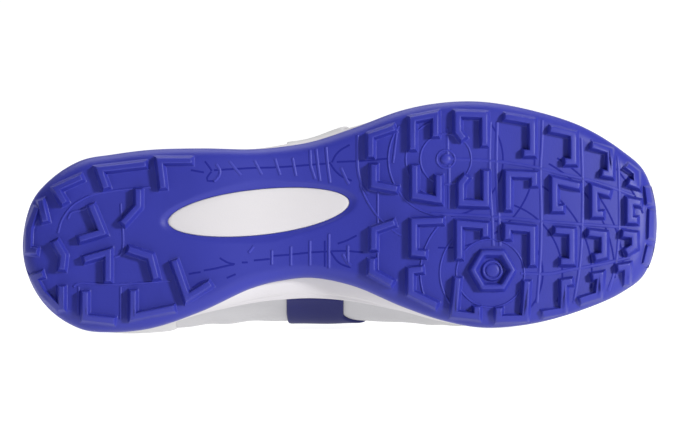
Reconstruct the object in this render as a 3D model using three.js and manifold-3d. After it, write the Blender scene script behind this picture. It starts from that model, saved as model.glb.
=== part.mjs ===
// A low-cut turf shoe for the right foot, lying on its medial side with the tread facing -Y.
// It is drawn standing: x runs from heel to toe, y from the lateral to the medial side, z up from the
// ground that the lugs stand on. Lengths are in millimetres. The last step lays the shoe on its side.

import * as THREE from 'three';
import { mergeVertices } from 'three/addons/utils/BufferGeometryUtils.js';
import { ConvexHull } from 'three/addons/math/ConvexHull.js';
import Module from 'manifold-3d';

const wasm = await Module();
wasm.setup();

// Driving sizes of the sole.
const SOLE_LENGTH = 292;
const BALL_WIDTH = 104;
const LUG_HEIGHT = 4;
const LUG_FOOT_WIDTH = 4.4;
const LUG_TREAD_WIDTH = 2.6;
const EDGE_LUG_SHARE = 0.4;
const OUTSOLE_THICKNESS = 2.5;
const RIM_WALL = 2.5;
const EDGE_ROUND = 6;
const TOE_ROUND = 9;
const TOE_SPRING = 13;
const HEEL_BEVEL = 4;
const ARCH_RISE = 3.5;
const HEEL_STACK = 29;
const FOREFOOT_STACK = 19;
const WINDOW_RECESS = 0.8;
const INSOLE_THICKNESS = 4;
const INSOLE_CUP = 2.5;

// Driving sizes of the upper.
const COLLAR_HEIGHT = 86;
const UPPER_WALL = 2.4;
const OVERLAY_THICKNESS = 1.2;
const PADDING_THICKNESS = 5;
const PADDING_DEPTH = 26;
const TONGUE_THICKNESS = 5.5;
const TONGUE_CROWN = 1.2;
const THROAT_TOP_WIDTH = 32;
const THROAT_END_WIDTH = 22;
const EYESTAY_WIDTH = 15;
const EYELET_INSET = 7;
const EYELET_PAIRS = 5;
const LACE_WIDTH = 6;
const LACE_THICKNESS = 1.3;

// Clearances: between pieces that meet, around the insole, and in from the midsole's edge to the upper.
const GAP = 0.3;
const INSOLE_CLEARANCE = 1;
const LEDGE = 1.5;

// Mean densities in g/cm3, used to find the side that the shoe comes to rest on.
const RUBBER_DENSITY = 1.1;
const FOAM_DENSITY = 0.25;
const CLOTH_DENSITY = 0.6;

// A row for each section from heel to toe. `at` is a share of the length, widths are shares of the ball
// width measured either side of y = 0, and heights above the midsole's top edge are shares of the collar
// height. sole is the tread's outline, top the midsole's upper edge, bulge the upper's widest line,
// shoulder the turn towards the instep, and ridge the instep's crest.
const SECTIONS = [
  { at: 0.014, soleL: 0.12, soleM: 0.239, topL: 0.106, topM: 0.221,
    bulgeL: 0.101, bulgeM: 0.216, bulgeUp: 0.19,
    shoulderL: 0.058, shoulderM: 0.173, shoulderUp: 0.58, ridgeUp: 1 },
  { at: 0.046, soleL: 0.226, soleM: 0.363, topL: 0.207, topM: 0.341,
    bulgeL: 0.202, bulgeM: 0.332, bulgeUp: 0.19,
    shoulderL: 0.135, shoulderM: 0.25, shoulderUp: 0.58, ridgeUp: 1 },
  { at: 0.093, soleL: 0.305, soleM: 0.442, topL: 0.279, topM: 0.413,
    bulgeL: 0.279, bulgeM: 0.404, bulgeUp: 0.195,
    shoulderL: 0.192, shoulderM: 0.303, shoulderUp: 0.58, ridgeUp: 1 },
  { at: 0.14, soleL: 0.33, soleM: 0.456, topL: 0.303, topM: 0.428, bulgeL: 0.303, bulgeM: 0.423, bulgeUp: 0.2,
    shoulderL: 0.216, shoulderM: 0.327, shoulderUp: 0.58, ridgeUp: 1.01 },
  { at: 0.203, soleL: 0.352, soleM: 0.438, topL: 0.327, topM: 0.413,
    bulgeL: 0.327, bulgeM: 0.418, bulgeUp: 0.215,
    shoulderL: 0.236, shoulderM: 0.337, shoulderUp: 0.58, ridgeUp: 1.02 },
  { at: 0.282, soleL: 0.358, soleM: 0.363, topL: 0.351, topM: 0.361,
    bulgeL: 0.351, bulgeM: 0.399, bulgeUp: 0.23,
    shoulderL: 0.255, shoulderM: 0.332, shoulderUp: 0.575, ridgeUp: 1 },
  { at: 0.361, soleL: 0.356, soleM: 0.259, topL: 0.37, topM: 0.317,
    bulgeL: 0.375, bulgeM: 0.385, bulgeUp: 0.235,
    shoulderL: 0.269, shoulderM: 0.308, shoulderUp: 0.55, ridgeUp: 0.94 },
  { at: 0.409, soleL: 0.369, soleM: 0.2235, topL: 0.389, topM: 0.303,
    bulgeL: 0.394, bulgeM: 0.382, bulgeUp: 0.235,
    shoulderL: 0.279, shoulderM: 0.293, shoulderUp: 0.525, ridgeUp: 0.87 },
  { at: 0.456, soleL: 0.392, soleM: 0.212, topL: 0.413, topM: 0.298,
    bulgeL: 0.418, bulgeM: 0.382, bulgeUp: 0.23,
    shoulderL: 0.298, shoulderM: 0.284, shoulderUp: 0.49, ridgeUp: 0.79 },
  { at: 0.519, soleL: 0.449, soleM: 0.248, topL: 0.462, topM: 0.3125,
    bulgeL: 0.471, bulgeM: 0.385, bulgeUp: 0.21,
    shoulderL: 0.332, shoulderM: 0.274, shoulderUp: 0.43, ridgeUp: 0.69 },
  { at: 0.598, soleL: 0.529, soleM: 0.343, topL: 0.514, topM: 0.356,
    bulgeL: 0.519, bulgeM: 0.394, bulgeUp: 0.17,
    shoulderL: 0.38, shoulderM: 0.274, shoulderUp: 0.365, ridgeUp: 0.585 },
  { at: 0.661, soleL: 0.562, soleM: 0.403, topL: 0.538, topM: 0.399,
    bulgeL: 0.538, bulgeM: 0.409, bulgeUp: 0.14,
    shoulderL: 0.413, shoulderM: 0.288, shoulderUp: 0.325, ridgeUp: 0.515 },
  { at: 0.724, soleL: 0.566, soleM: 0.434, topL: 0.543, topM: 0.413,
    bulgeL: 0.538, bulgeM: 0.413, bulgeUp: 0.125,
    shoulderL: 0.428, shoulderM: 0.298, shoulderUp: 0.3, ridgeUp: 0.46 },
  { at: 0.803, soleL: 0.529, soleM: 0.414, topL: 0.51, topM: 0.394,
    bulgeL: 0.505, bulgeM: 0.389, bulgeUp: 0.115,
    shoulderL: 0.404, shoulderM: 0.288, shoulderUp: 0.275, ridgeUp: 0.405 },
  { at: 0.882, soleL: 0.46, soleM: 0.35, topL: 0.4375, topM: 0.332,
    bulgeL: 0.433, bulgeM: 0.327, bulgeUp: 0.105,
    shoulderL: 0.346, shoulderM: 0.245, shoulderUp: 0.25, ridgeUp: 0.36 },
  { at: 0.945, soleL: 0.358, soleM: 0.268, topL: 0.337, topM: 0.25,
    bulgeL: 0.332, bulgeM: 0.245, bulgeUp: 0.1,
    shoulderL: 0.269, shoulderM: 0.1875, shoulderUp: 0.23, ridgeUp: 0.32 },
  { at: 0.981, soleL: 0.265, soleM: 0.181, topL: 0.245, topM: 0.168,
    bulgeL: 0.24, bulgeM: 0.163, bulgeUp: 0.095,
    shoulderL: 0.197, shoulderM: 0.125, shoulderUp: 0.215, ridgeUp: 0.3 },
];

// Where each line of the sections closes at the heel and toe: shares of the length and the ball width,
// and heights as above.
const TIPS = {
  sole: { heelAt: 0, heelY: 0.08, toeAt: 1, toeY: -0.035 },
  top: { heelAt: 0.011, heelY: 0.078, toeAt: 0.985, toeY: -0.035 },
  bulge: { heelAt: 0.012, heelY: 0.075, heelUp: 0.185, toeAt: 0.981, toeY: -0.035, toeUp: 0.09 },
  shoulder: { heelAt: 0.026, heelY: 0.075, heelUp: 0.58, toeAt: 0.95, toeY: -0.035, toeUp: 0.205 },
  ridge: { heelAt: 0.028, heelY: 0.06, heelUp: 1, toeAt: 0.856, toeY: -0.03, toeUp: 0.285 },
};

// The collar's top edge from the side, heel to throat: shares of the length and the collar height.
const TOPLINE = [
  { at: -0.05, up: 0.79 },
  { at: 0.03, up: 0.8 },
  { at: 0.09, up: 0.7 },
  { at: 0.17, up: 0.585 },
  { at: 0.235, up: 0.56 },
  { at: 0.3, up: 0.61 },
  { at: 0.345, up: 0.72 },
  { at: 0.37, up: 0.85 },
];

// The tread's lugs. Each is a bar across the foot with an arm at either end, and a hook on an arm's end.
// at is the bar's lateral end as a share of the length, from and to its two ends as shares of the ball
// width, lean how far it runs towards the toe. Arms are [along, across] steps from the bar's ends.
const LUGS = [
  { at: 0.547, from: -0.407, to: -0.327, lateralArm: [0.033, -0.031] },
  { at: 0.552, from: -0.265, to: -0.19, medialArm: [0.032, 0.018] },
  { at: 0.552, from: 0.009, to: 0.084, lateralArm: [0.028, -0.027] },
  { at: 0.549, from: 0.151, to: 0.195, medialArm: [0.028, 0.044] },
  { at: 0.613, from: -0.48, to: -0.358, lateralArm: [0.036, -0.02], lateralHook: 0.084 },
  { at: 0.616, from: -0.261, to: -0.141, medialArm: [0.038, 0.018], medialHook: -0.095 },
  { at: 0.615, from: -0.026, to: 0.111, lateralArm: [0.041, -0.004], medialArm: [0.014, 0.004] },
  { at: 0.61, from: 0.19, to: 0.288, lateralArm: [0.014, -0.004], medialArm: [0.036, 0.049] },
  { at: 0.684, from: -0.504, to: -0.425,
    lateralArm: [0.042, 0.004], lateralHook: 0.124, medialArm: [0.006, 0.022] },
  { at: 0.689, from: -0.195, to: -0.11,
    medialArm: [0.039, 0.004], medialHook: -0.133, lateralArm: [0.006, -0.022] },
  { at: 0.686, from: -0.018, to: 0.124, lateralArm: [0.041, 0.009], lateralHook: 0.035 },
  { at: 0.683, from: 0.235, to: 0.381, lean: -0.005, medialArm: [0.036, 0.011], medialHook: -0.03 },
  { at: 0.801, from: -0.473, to: -0.332, lateralArm: [-0.038, -0.018], medialArm: [-0.009, 0] },
  { at: 0.763, from: -0.239, to: -0.093, lateralArm: [0.041, 0.004], lateralHook: 0.035 },
  { at: 0.801, from: 0.005, to: 0.151, lateralArm: [-0.039, -0.009], lateralHook: 0.04 },
  { at: 0.792, from: 0.248, to: 0.398, lean: -0.003, medialArm: [-0.041, 0.004], medialHook: -0.035 },
  { at: 0.866, from: -0.42, to: -0.296, lateralArm: [-0.032, -0.018], medialArm: [-0.009, 0] },
  { at: 0.836, from: -0.212, to: -0.088, lateralArm: [0.035, 0.022], medialArm: [0.009, 0] },
  { at: 0.863, from: 0.013, to: 0.146, lateralArm: [-0.022, -0.004], medialArm: [-0.013, 0] },
  { at: 0.85, from: 0.239, to: 0.363, lateralArm: [0.009, -0.004], medialArm: [-0.028, 0.013] },
  { at: 0.924, from: -0.35, to: -0.243, lateralArm: [-0.024, -0.018], medialArm: [-0.008, -0.004] },
  { at: 0.899, from: -0.178, to: -0.066, lateralArm: [0.02, 0.016], medialArm: [0.009, 0] },
  { at: 0.914, from: 0.024, to: 0.115, lateralArm: [-0.02, -0.006], medialArm: [-0.01, 0.007] },
  { at: 0.908, from: 0.205, to: 0.292, lean: -0.003,
    lateralArm: [-0.008, 0.004], medialArm: [-0.024, 0.022] },
  { at: 0.966, from: -0.256, to: -0.2, lateralArm: [-0.011, -0.022], medialArm: [-0.008, -0.007] },
  { at: 0.955, from: -0.126, to: -0.042, lateralArm: [0.013, 0.006], medialArm: [0.007, 0] },
  { at: 0.962, from: 0.024, to: 0.075, lateralArm: [-0.014, -0.004], medialArm: [-0.009, 0.016] },
  { at: 0.951, from: 0.163, to: 0.23, lateralArm: [-0.011, 0.005] },
  { at: 0.985, from: -0.18, to: -0.135, lean: 0.002 },
  { at: 0.991, from: -0.078, to: 0.02, lean: -0.001 },
  { at: 0.987, from: 0.085, to: 0.132, lean: -0.004 },
  { at: 0.122, from: -0.256, to: -0.186, lean: 0.009, lateralArm: [0.068, -0.022] },
  { at: 0.216, from: -0.296, to: -0.186, lean: 0.005, lateralArm: [0.046, 0] },
  { at: 0.054, from: -0.172, to: -0.119, lean: 0.011, lateralArm: [0.036, -0.044] },
  { at: 0.03, from: -0.11, to: -0.04, lean: 0.006 },
  { at: 0.01, from: 0, to: 0.097, lean: -0.001, lateralArm: [0.011, -0.08], medialArm: [0.011, 0.004] },
  { at: 0.018, from: 0.217, to: 0.288, lean: 0.014, lateralArm: [0.011, -0.009], medialArm: [0.024, 0.062] },
  { at: 0.111, from: -0.088, to: 0.022, lean: 0.016, medialArm: [-0.032, 0.027] },
  { at: 0.183, from: -0.155, to: -0.093, medialArm: [-0.021, 0.066] },
  { at: 0.136, from: 0.111, to: 0.226, lateralArm: [-0.033, 0.027] },
  { at: 0.202, from: 0.128, to: 0.213, lean: 0.008, lateralArm: [-0.03, -0.027] },
  { at: 0.055, from: 0.071, to: 0.124, lean: 0.011, medialArm: [-0.002, 0.049] },
  { at: 0.063, from: 0.274, to: 0.35 },
  { at: 0.1, from: 0.297, to: 0.398, medialArm: [0.041, 0.013] },
  { at: 0.175, from: 0.292, to: 0.394, medialArm: [0.06, -0.035] },
  { at: 0.241, from: 0.159, to: 0.31, lean: 0.019, medialArm: [0.032, -0.057] },
];

// The six-sided pivot under the ball of the foot, and the midsole's oval window in the waist.
const PIVOT = { at: 0.738, across: 0.186, radius: 9.8, bore: 5.4 };
const WINDOW = { at: 0.3715, across: -0.073, halfLength: 41.9, halfWidth: 10.6, turn: -0.115 };

// Panels of the upper. at and up are shares of the length and the collar height, across of the ball width.
const THROAT = { from: 0.24, to: 0.623, fromAcross: 0.03, toAcross: -0.024, shoulder: 0.39 };
const TONGUE = { from: 0.27, to: 0.66, topWidth: 58, endWidth: 40, tipAt: 0.345, tipUp: 0.86, lean: 0.6 };
const TOE_CAP = { wingAt: 0.735, crestAt: 0.9, reach: 0.7 };
const HEEL_COUNTER = { at: 0.235, backUp: 0.52, frontUp: 0.2 };
const SIDE_BAND = { backAt: 0.415, frontAt: 0.505, topBackAt: 0.43, topFrontAt: 0.58, up: 0.75 };

// Numbers of steps in the meshes.
const ROWS_ALONG = 29;
const FINE_ROWS = 80;
const UPPER_STEPS_AROUND = 12;
const ROUND_STEPS = 3;
const PEN_STEPS = 4;

const clamp = (value, low = 0, high = 1) => Math.min(high, Math.max(low, value));
const smooth = (from, to, value) => THREE.MathUtils.smoothstep(value, from, to);

// Level lines: closed loops around the foot.

// A closed curve through the heel tip, the lateral points, the toe tip and the medial points of a line.
function levelLoop(name, heightAt) {
  const tip = TIPS[name];
  const span = tip.toeAt - tip.heelAt;
  const point = (at, across, up) => {
    const x = (tip.heelAt + span * at) * SOLE_LENGTH;
    return new THREE.Vector3(x, across * BALL_WIDTH, heightAt(x, up));
  };
  const lateral = SECTIONS.map((row) => point(row.at, -row[`${name}L`], row[`${name}Up`]));
  const medial = SECTIONS.map((row) => point(row.at, row[`${name}M`], row[`${name}Up`]));
  const heel = point(0, tip.heelY, tip.heelUp);
  const toe = point(1, tip.toeY, tip.toeUp);
  return new THREE.CatmullRomCurve3([heel, ...lateral, toe, ...medial.reverse()], true);
}

// Lateral and medial points of a loop, paired from heel to toe.
function pairs(loop, count = ROWS_ALONG) {
  return Array.from({ length: count + 1 }, (_, i) => {
    const share = i / (2 * count);
    return { lateral: loop.getPoint(share), medial: loop.getPoint((1 - share) % 1) };
  });
}

// Heights of the sole above the ground.

function toeSpring(x) {
  const share = clamp((x / SOLE_LENGTH - 0.66) / 0.34);
  return TOE_SPRING * share ** 2;
}

function treadHeight(x) {
  const at = x / SOLE_LENGTH;
  const heel = clamp((0.1 - at) / 0.1);
  const arch = Math.sin(Math.PI * clamp((at - 0.27) / 0.34));
  return LUG_HEIGHT + toeSpring(x) + HEEL_BEVEL * heel ** 2 + ARCH_RISE * arch ** 2;
}

function topHeight(x) {
  const at = x / SOLE_LENGTH;
  return toeSpring(x) + THREE.MathUtils.lerp(HEEL_STACK, FOREFOOT_STACK, smooth(0.22, 0.64, at));
}

function edgeRound(x) {
  return THREE.MathUtils.lerp(EDGE_ROUND, TOE_ROUND, smooth(0.86, 1, x / SOLE_LENGTH));
}

function rimHeight(x) {
  return treadHeight(x) + edgeRound(x) + RIM_WALL;
}

const soleLoop = levelLoop('sole', () => 0);
const topLoop = levelLoop('top', (x) => topHeight(x));
const soleOutline = pairs(soleLoop, FINE_ROWS);
const soleSides = [
  soleOutline.map((pair) => pair.lateral),
  soleOutline.map((pair) => pair.medial),
];

// Distance in plan from a point to the sole's outline.
function edgeDistance(x, y) {
  const point = new THREE.Vector3(x, y, 0);
  const near = new THREE.Vector3();
  const segment = new THREE.Line3();
  let best = Infinity;
  for (const side of soleSides) {
    for (let i = 1; i < side.length; i += 1) {
      segment.set(side[i - 1], side[i]).closestPointToPoint(point, true, near);
      best = Math.min(best, near.distanceTo(point));
    }
  }
  return best;
}

// Height of the tread's surface, which rounds up to the rim along the outline.
function trayHeight(x, y) {
  const radius = edgeRound(x);
  const short = clamp(radius - edgeDistance(x, y), 0, radius);
  return treadHeight(x) + radius - Math.sqrt(radius ** 2 - short ** 2);
}

// Turning grids and rings of points into closed solids.

function toSolid(geometry) {
  const bare = geometry.clone();
  bare.deleteAttribute('normal');
  bare.deleteAttribute('uv');
  const merged = mergeVertices(bare, 1e-4);
  const corners = merged.index.array;
  const kept = [];
  for (let i = 0; i < corners.length; i += 3) {
    const [a, b, c] = corners.slice(i, i + 3);
    if (a !== b && b !== c && c !== a) kept.push(a, b, c);
  }
  return new wasm.Manifold(new wasm.Mesh({
    numProp: 3,
    vertProperties: new Float32Array(merged.attributes.position.array),
    triVerts: new Uint32Array(kept),
  }));
}

function toGeometry(solid) {
  const mesh = solid.getMesh();
  const geometry = new THREE.BufferGeometry();
  geometry.setAttribute('position', new THREE.BufferAttribute(mesh.vertProperties, 3));
  geometry.setIndex(new THREE.BufferAttribute(mesh.triVerts, 1));
  return geometry;
}

// Triangles between neighbouring rows of points.
function quadStrip(rows) {
  const triangles = [];
  for (let i = 1; i < rows.length; i += 1) {
    for (let j = 1; j < rows[i].length; j += 1) {
      const corners = [rows[i - 1][j - 1], rows[i][j - 1], rows[i][j], rows[i - 1][j]];
      triangles.push(corners[0], corners[1], corners[2], corners[0], corners[2], corners[3]);
    }
  }
  return triangles;
}

function flipped(triangles) {
  const turned = [];
  for (let i = 0; i < triangles.length; i += 3) turned.push(triangles[i], triangles[i + 2], triangles[i + 1]);
  return turned;
}

// A closed body from a bottom grid, a top grid, and rings between their edges. Grids run heel to toe, and
// each row from the lateral to the medial edge. A ring holds a pair of points for each row.
function closedBody(bottom, top, rings = []) {
  const edge = (rows, side) => rows.map((row) => (side === 'lateral' ? row[0] : row[row.length - 1]));
  const wall = (side) => quadStrip([
    edge(bottom, side),
    ...rings.map((ring) => ring.map((pair) => pair[side])),
    edge(top, side),
  ]);
  const triangles = [
    ...quadStrip(top),
    ...flipped(quadStrip(bottom)),
    ...flipped(wall('lateral')),
    ...wall('medial'),
  ];
  return toSolid(new THREE.BufferGeometry().setFromPoints(triangles));
}

// Rows of points from the lateral to the medial side of an outline.
function across(outline, heightAt, shares = [0, 0.5, 1]) {
  return outline.map(({ lateral, medial }) => shares.map((share) => {
    const point = lateral.clone().lerp(medial, share);
    return point.setZ(heightAt(point.x));
  }));
}

// An outline moved inwards in plan, by a distance worked out from x.
function inset(outline, distanceAt) {
  const sides = { lateral: [], medial: [] };
  for (const side of ['lateral', 'medial']) {
    const turn = side === 'lateral' ? 1 : -1;
    const other = side === 'lateral' ? 'medial' : 'lateral';
    outline.forEach((pair, i) => {
      const before = i ? outline[i - 1][side] : outline[1][other];
      const after = i < outline.length - 1 ? outline[i + 1][side] : outline[i - 1][other];
      const along = after.clone().sub(before).setZ(0).normalize();
      const distance = turn * distanceAt(pair[side].x);
      const inward = new THREE.Vector3(-along.y, along.x, 0);
      sides[side].push(pair[side].clone().addScaledVector(inward, distance));
    });
  }
  return outline.map((_, i) => ({ lateral: sides.lateral[i], medial: sides.medial[i] }));
}

const atHeight = (outline, heightAt) => outline.map((pair) => ({
  lateral: pair.lateral.clone().setZ(heightAt(pair.lateral.x)),
  medial: pair.medial.clone().setZ(heightAt(pair.medial.x)),
}));

// Level rings of a rounded tray that lies `lift` inside the tread's surface, from its wall to its floor.
function trayRings(lift) {
  const outline = pairs(soleLoop);
  const turns = Array.from({ length: ROUND_STEPS + 1 }, (_, k) => (k / ROUND_STEPS) * (Math.PI / 2));
  return turns.map((turn) => {
    const radius = (x) => edgeRound(x) - lift;
    const ring = inset(outline, (x) => lift + radius(x) * (1 - Math.cos(turn)));
    return atHeight(ring, (x) => treadHeight(x) + lift + radius(x) * (1 - Math.sin(turn)));
  });
}

// A rounded tray body that stands up to a height, with more rings above its wall where they are given.
function trayBody(lift, top, upperRings = []) {
  const rings = trayRings(lift).reverse();
  const floor = across(rings[0], (x) => treadHeight(x) + lift);
  return closedBody(floor, top, [...rings.slice(1), ...upperRings]);
}

// Prisms that cut and trim.

// A shape drawn from the side in x and z, run through the whole width.
function sidePrism(shape) {
  const depth = 4 * BALL_WIDTH;
  const prism = new THREE.ExtrudeGeometry(shape, { depth, bevelEnabled: false, curveSegments: PEN_STEPS });
  return toSolid(prism.rotateX(Math.PI / 2).translate(0, depth / 2, 0));
}

// A shape drawn from above in x and y, run between two heights.
function planPrism(shape, low, high) {
  const prism = new THREE.ExtrudeGeometry(shape, {
    depth: high - low,
    bevelEnabled: false,
    curveSegments: PEN_STEPS,
  });
  return toSolid(prism.translate(0, 0, low));
}

const alongFoot = (share) => share * SOLE_LENGTH;
const upCollar = (share) => HEEL_STACK + share * COLLAR_HEIGHT;
const ABOVE_SHOE = HEEL_STACK + 2 * COLLAR_HEIGHT;

// The outsole: a rounded rubber tray with a window, and the lugs moulded on it.

// The corners of a bar of even width along a path in plan, with mitred turns.
function strokeOutline(path, width) {
  const half = width / 2;
  const direction = (i) => path[i + 1].clone().sub(path[i]).normalize();
  const left = [];
  const right = [];
  path.forEach((point, i) => {
    const into = i ? direction(i - 1) : direction(0);
    const out = i < path.length - 1 ? direction(i) : into;
    const across = into.clone().add(out).normalize().rotateAround(new THREE.Vector2(), Math.PI / 2);
    const normal = into.clone().rotateAround(new THREE.Vector2(), Math.PI / 2);
    const reach = half / Math.max(across.dot(normal), 0.4);
    const end = (i ? 0 : -half) + (i < path.length - 1 ? 0 : half);
    const centre = point.clone().addScaledVector(into, end);
    left.push(centre.clone().addScaledVector(across, reach));
    right.push(centre.clone().addScaledVector(across, -reach));
  });
  return [...left, ...right.reverse()];
}

// The centre line of a lug in plan.
function lugPath(lug) {
  const point = (at, across) => new THREE.Vector2(at * SOLE_LENGTH, across * BALL_WIDTH);
  const path = [point(lug.at, lug.from), point(lug.at + (lug.lean ?? 0), lug.to)];
  const grow = (arm, hook, add, from) => {
    if (!arm) return;
    const elbow = from.clone().add(point(arm[0], arm[1]));
    add(elbow);
    if (hook) add(elbow.clone().add(point(0, hook)));
  };
  grow(lug.lateralArm, lug.lateralHook, (p) => path.unshift(p), path[0]);
  grow(lug.medialArm, lug.medialHook, (p) => path.push(p), path.at(-1));
  return path;
}

// A point sunk under the tread's surface, square to it.
function underTread(x, y, depth) {
  const step = 0.5;
  const z = trayHeight(x, y);
  const slopeX = (trayHeight(x + step, y) - trayHeight(x - step, y)) / (2 * step);
  const slopeY = (trayHeight(x, y + step) - trayHeight(x, y - step)) / (2 * step);
  const inward = new THREE.Vector3(-slopeX, -slopeY, 1).normalize();
  return new THREE.Vector3(x, y, z).addScaledVector(inward, depth);
}

// How far a lug stands down from the tray: all of its height inside, less where the edge rounds up.
function lugHeight(x, y) {
  const inward = smooth(0, 1.3 * EDGE_ROUND, edgeDistance(x, y));
  return LUG_HEIGHT * THREE.MathUtils.lerp(EDGE_LUG_SHARE, 1, inward);
}

// A closed lug whose foot is sunk into the tray and whose tread stands clear of it.
function lugSolid(foot, tread) {
  const rings = [
    foot.map((p) => underTread(p.x, p.y, OUTSOLE_THICKNESS / 2)),
    tread.map((p) => new THREE.Vector3(p.x, p.y, trayHeight(p.x, p.y) - lugHeight(p.x, p.y))),
  ];
  const counterclockwise = THREE.ShapeUtils.area(foot) > 0;
  const caps = THREE.ShapeUtils.triangulateShape(tread, []);
  const points = [];
  caps.forEach(([a, b, c]) => {
    points.push(rings[1][a], rings[1][c], rings[1][b], rings[0][a], rings[0][b], rings[0][c]);
  });
  const closed = rings.map((ring) => [...ring, ring[0]]);
  const walls = quadStrip(closed);
  points.push(...(counterclockwise ? walls : flipped(walls)));
  return toSolid(new THREE.BufferGeometry().setFromPoints(points));
}

function polygon(centre, radius, sides, turn = 0) {
  return Array.from({ length: sides }, (_, i) => {
    const angle = turn + (i / sides) * 2 * Math.PI;
    return new THREE.Vector2(centre.x + radius * Math.cos(angle), centre.y + radius * Math.sin(angle));
  });
}

function pivotSolid() {
  const centre = new THREE.Vector2(PIVOT.at * SOLE_LENGTH, PIVOT.across * BALL_WIDTH);
  const taper = (LUG_FOOT_WIDTH - LUG_TREAD_WIDTH) / 2;
  const post = lugSolid(polygon(centre, PIVOT.radius + taper, 6), polygon(centre, PIVOT.radius, 6));
  const shape = new THREE.Shape(polygon(centre, PIVOT.bore, 12));
  const floor = trayHeight(centre.x, centre.y);
  return post.subtract(planPrism(shape, floor - 2 * LUG_HEIGHT, floor));
}

function windowShape(clearance) {
  const shape = new THREE.Shape();
  shape.absellipse(
    WINDOW.at * SOLE_LENGTH,
    WINDOW.across * BALL_WIDTH,
    WINDOW.halfLength - clearance,
    WINDOW.halfWidth - clearance,
    0,
    2 * Math.PI,
    false,
    WINDOW.turn,
  );
  return new THREE.Shape(shape.getPoints(PEN_STEPS * 8));
}

function outsoleSolid() {
  const outline = pairs(soleLoop);
  const inner = inset(outline, () => OUTSOLE_THICKNESS);
  const outside = trayBody(0, across(outline, rimHeight));
  const hollow = trayBody(OUTSOLE_THICKNESS, across(inner, (x) => rimHeight(x) + HEEL_STACK));
  const lugs = LUGS.map((lug) => {
    const path = lugPath(lug);
    return lugSolid(strokeOutline(path, LUG_FOOT_WIDTH), strokeOutline(path, LUG_TREAD_WIDTH));
  });
  const moulded = wasm.Manifold.union([outside, ...lugs, pivotSolid()]);
  return moulded.subtract(hollow).subtract(planPrism(windowShape(0), 0, HEEL_STACK));
}

function midsoleSolid() {
  const lift = OUTSOLE_THICKNESS + GAP;
  const outline = pairs(soleLoop);
  const lower = inset(outline, () => lift);
  const top = pairs(topLoop);
  const crown = inset(top, () => LEDGE / 2);
  const aboveRim = (x) => rimHeight(x) + GAP;
  const shoulder = top.map((pair, i) => {
    const blend = (side) => outline[i][side].clone().lerp(pair[side], 0.6)
      .setZ(THREE.MathUtils.lerp(aboveRim(pair[side].x), pair[side].z, 0.45));
    return { lateral: blend('lateral'), medial: blend('medial') };
  });
  const body = trayBody(lift, across(crown, topHeight), [
    atHeight(lower, aboveRim),
    atHeight(outline, aboveRim),
    shoulder,
    atHeight(top, (x) => topHeight(x) - LEDGE / 2),
  ]);
  const face = treadHeight(WINDOW.at * SOLE_LENGTH) + WINDOW_RECESS;
  const plug = planPrism(windowShape(GAP), face, face + 2 * lift);
  return body.add(plug);
}

function insoleSolid() {
  const foot = pairs(topLoop);
  const outline = inset(foot, () => LEDGE + UPPER_WALL + INSOLE_CLEARANCE);
  const shares = [0, 0.15, 0.5, 0.85, 1];
  const bottom = across(outline, (x) => topHeight(x) + GAP, shares);
  const cupped = across(outline, (x) => topHeight(x) + GAP + INSOLE_THICKNESS, shares);
  for (const row of cupped) {
    row[0].z += INSOLE_CUP;
    row.at(-1).z += INSOLE_CUP;
  }
  return closedBody(bottom, cupped);
}

// The upper's form: a grid over the last with a normal at each point, so that every layer is parallel.

function lastGrid() {
  const rise = (x, up) => topHeight(x) + GAP + up * COLLAR_HEIGHT;
  const levels = [
    inset(atHeight(pairs(topLoop), (x) => rise(x, 0)), () => LEDGE),
    pairs(levelLoop('bulge', rise)),
    pairs(levelLoop('shoulder', rise)),
  ];
  const crest = ridgeLine(rise);
  return crest.map((ridge, i) => {
    const lateral = levels.map((level) => level[i].lateral);
    const medial = levels.map((level) => level[i].medial);
    const section = new THREE.CatmullRomCurve3([...lateral, ridge, ...medial.reverse()]);
    return section.getPoints(UPPER_STEPS_AROUND);
  });
}

// The crest of the instep, between the shoulders and drawn towards the big toe.
function ridgeLine(rise) {
  const tip = TIPS.ridge;
  const at = (share) => tip.heelAt + (tip.toeAt - tip.heelAt) * share;
  const point = (share, y, up) => {
    const x = at(share) * SOLE_LENGTH;
    return new THREE.Vector3(x, y * BALL_WIDTH, rise(x, up));
  };
  const middle = SECTIONS.map((row) => {
    const pull = 0.05 * smooth(0.25, 0.6, row.at) * (1 - smooth(0.85, 1, row.at));
    return point(row.at, (row.shoulderM - row.shoulderL) / 2 + pull, row.ridgeUp);
  });
  const line = new THREE.CatmullRomCurve3([
    point(0, tip.heelY, tip.heelUp), ...middle, point(1, tip.toeY, tip.toeUp),
  ]);
  return line.getPoints(ROWS_ALONG);
}

const LAST = lastGrid();

// The unit normal at each point of the last's grid, facing out.
const LAST_NORMALS = (() => {
  const columns = LAST[0].length;
  const index = [];
  for (let i = 1; i < LAST.length; i += 1) {
    for (let j = 1; j < columns; j += 1) {
      const a = (i - 1) * columns + j - 1;
      const [b, c, d] = [a + columns, a + columns + 1, a + 1];
      index.push(a, b, c, a, c, d);
    }
  }
  const grid = new THREE.BufferGeometry().setFromPoints(LAST.flat()).setIndex(index);
  const merged = mergeVertices(grid, 1e-3);
  merged.computeVertexNormals();
  const normals = LAST.flat().map(() => new THREE.Vector3());
  index.forEach((corner, k) => {
    normals[corner].fromBufferAttribute(merged.attributes.normal, merged.index.array[k]);
  });
  return LAST.map((row, i) => row.map((_, j) => normals[i * columns + j]));
})();

// The last grown by a distance, as rows of points.
function lastLayer(offset) {
  return LAST.map((row, i) => {
    const moved = row.map((point, j) => point.clone().addScaledVector(LAST_NORMALS[i][j], offset));
    moved[0].setZ(row[0].z);
    moved.at(-1).setZ(row.at(-1).z);
    return moved;
  });
}

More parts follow.
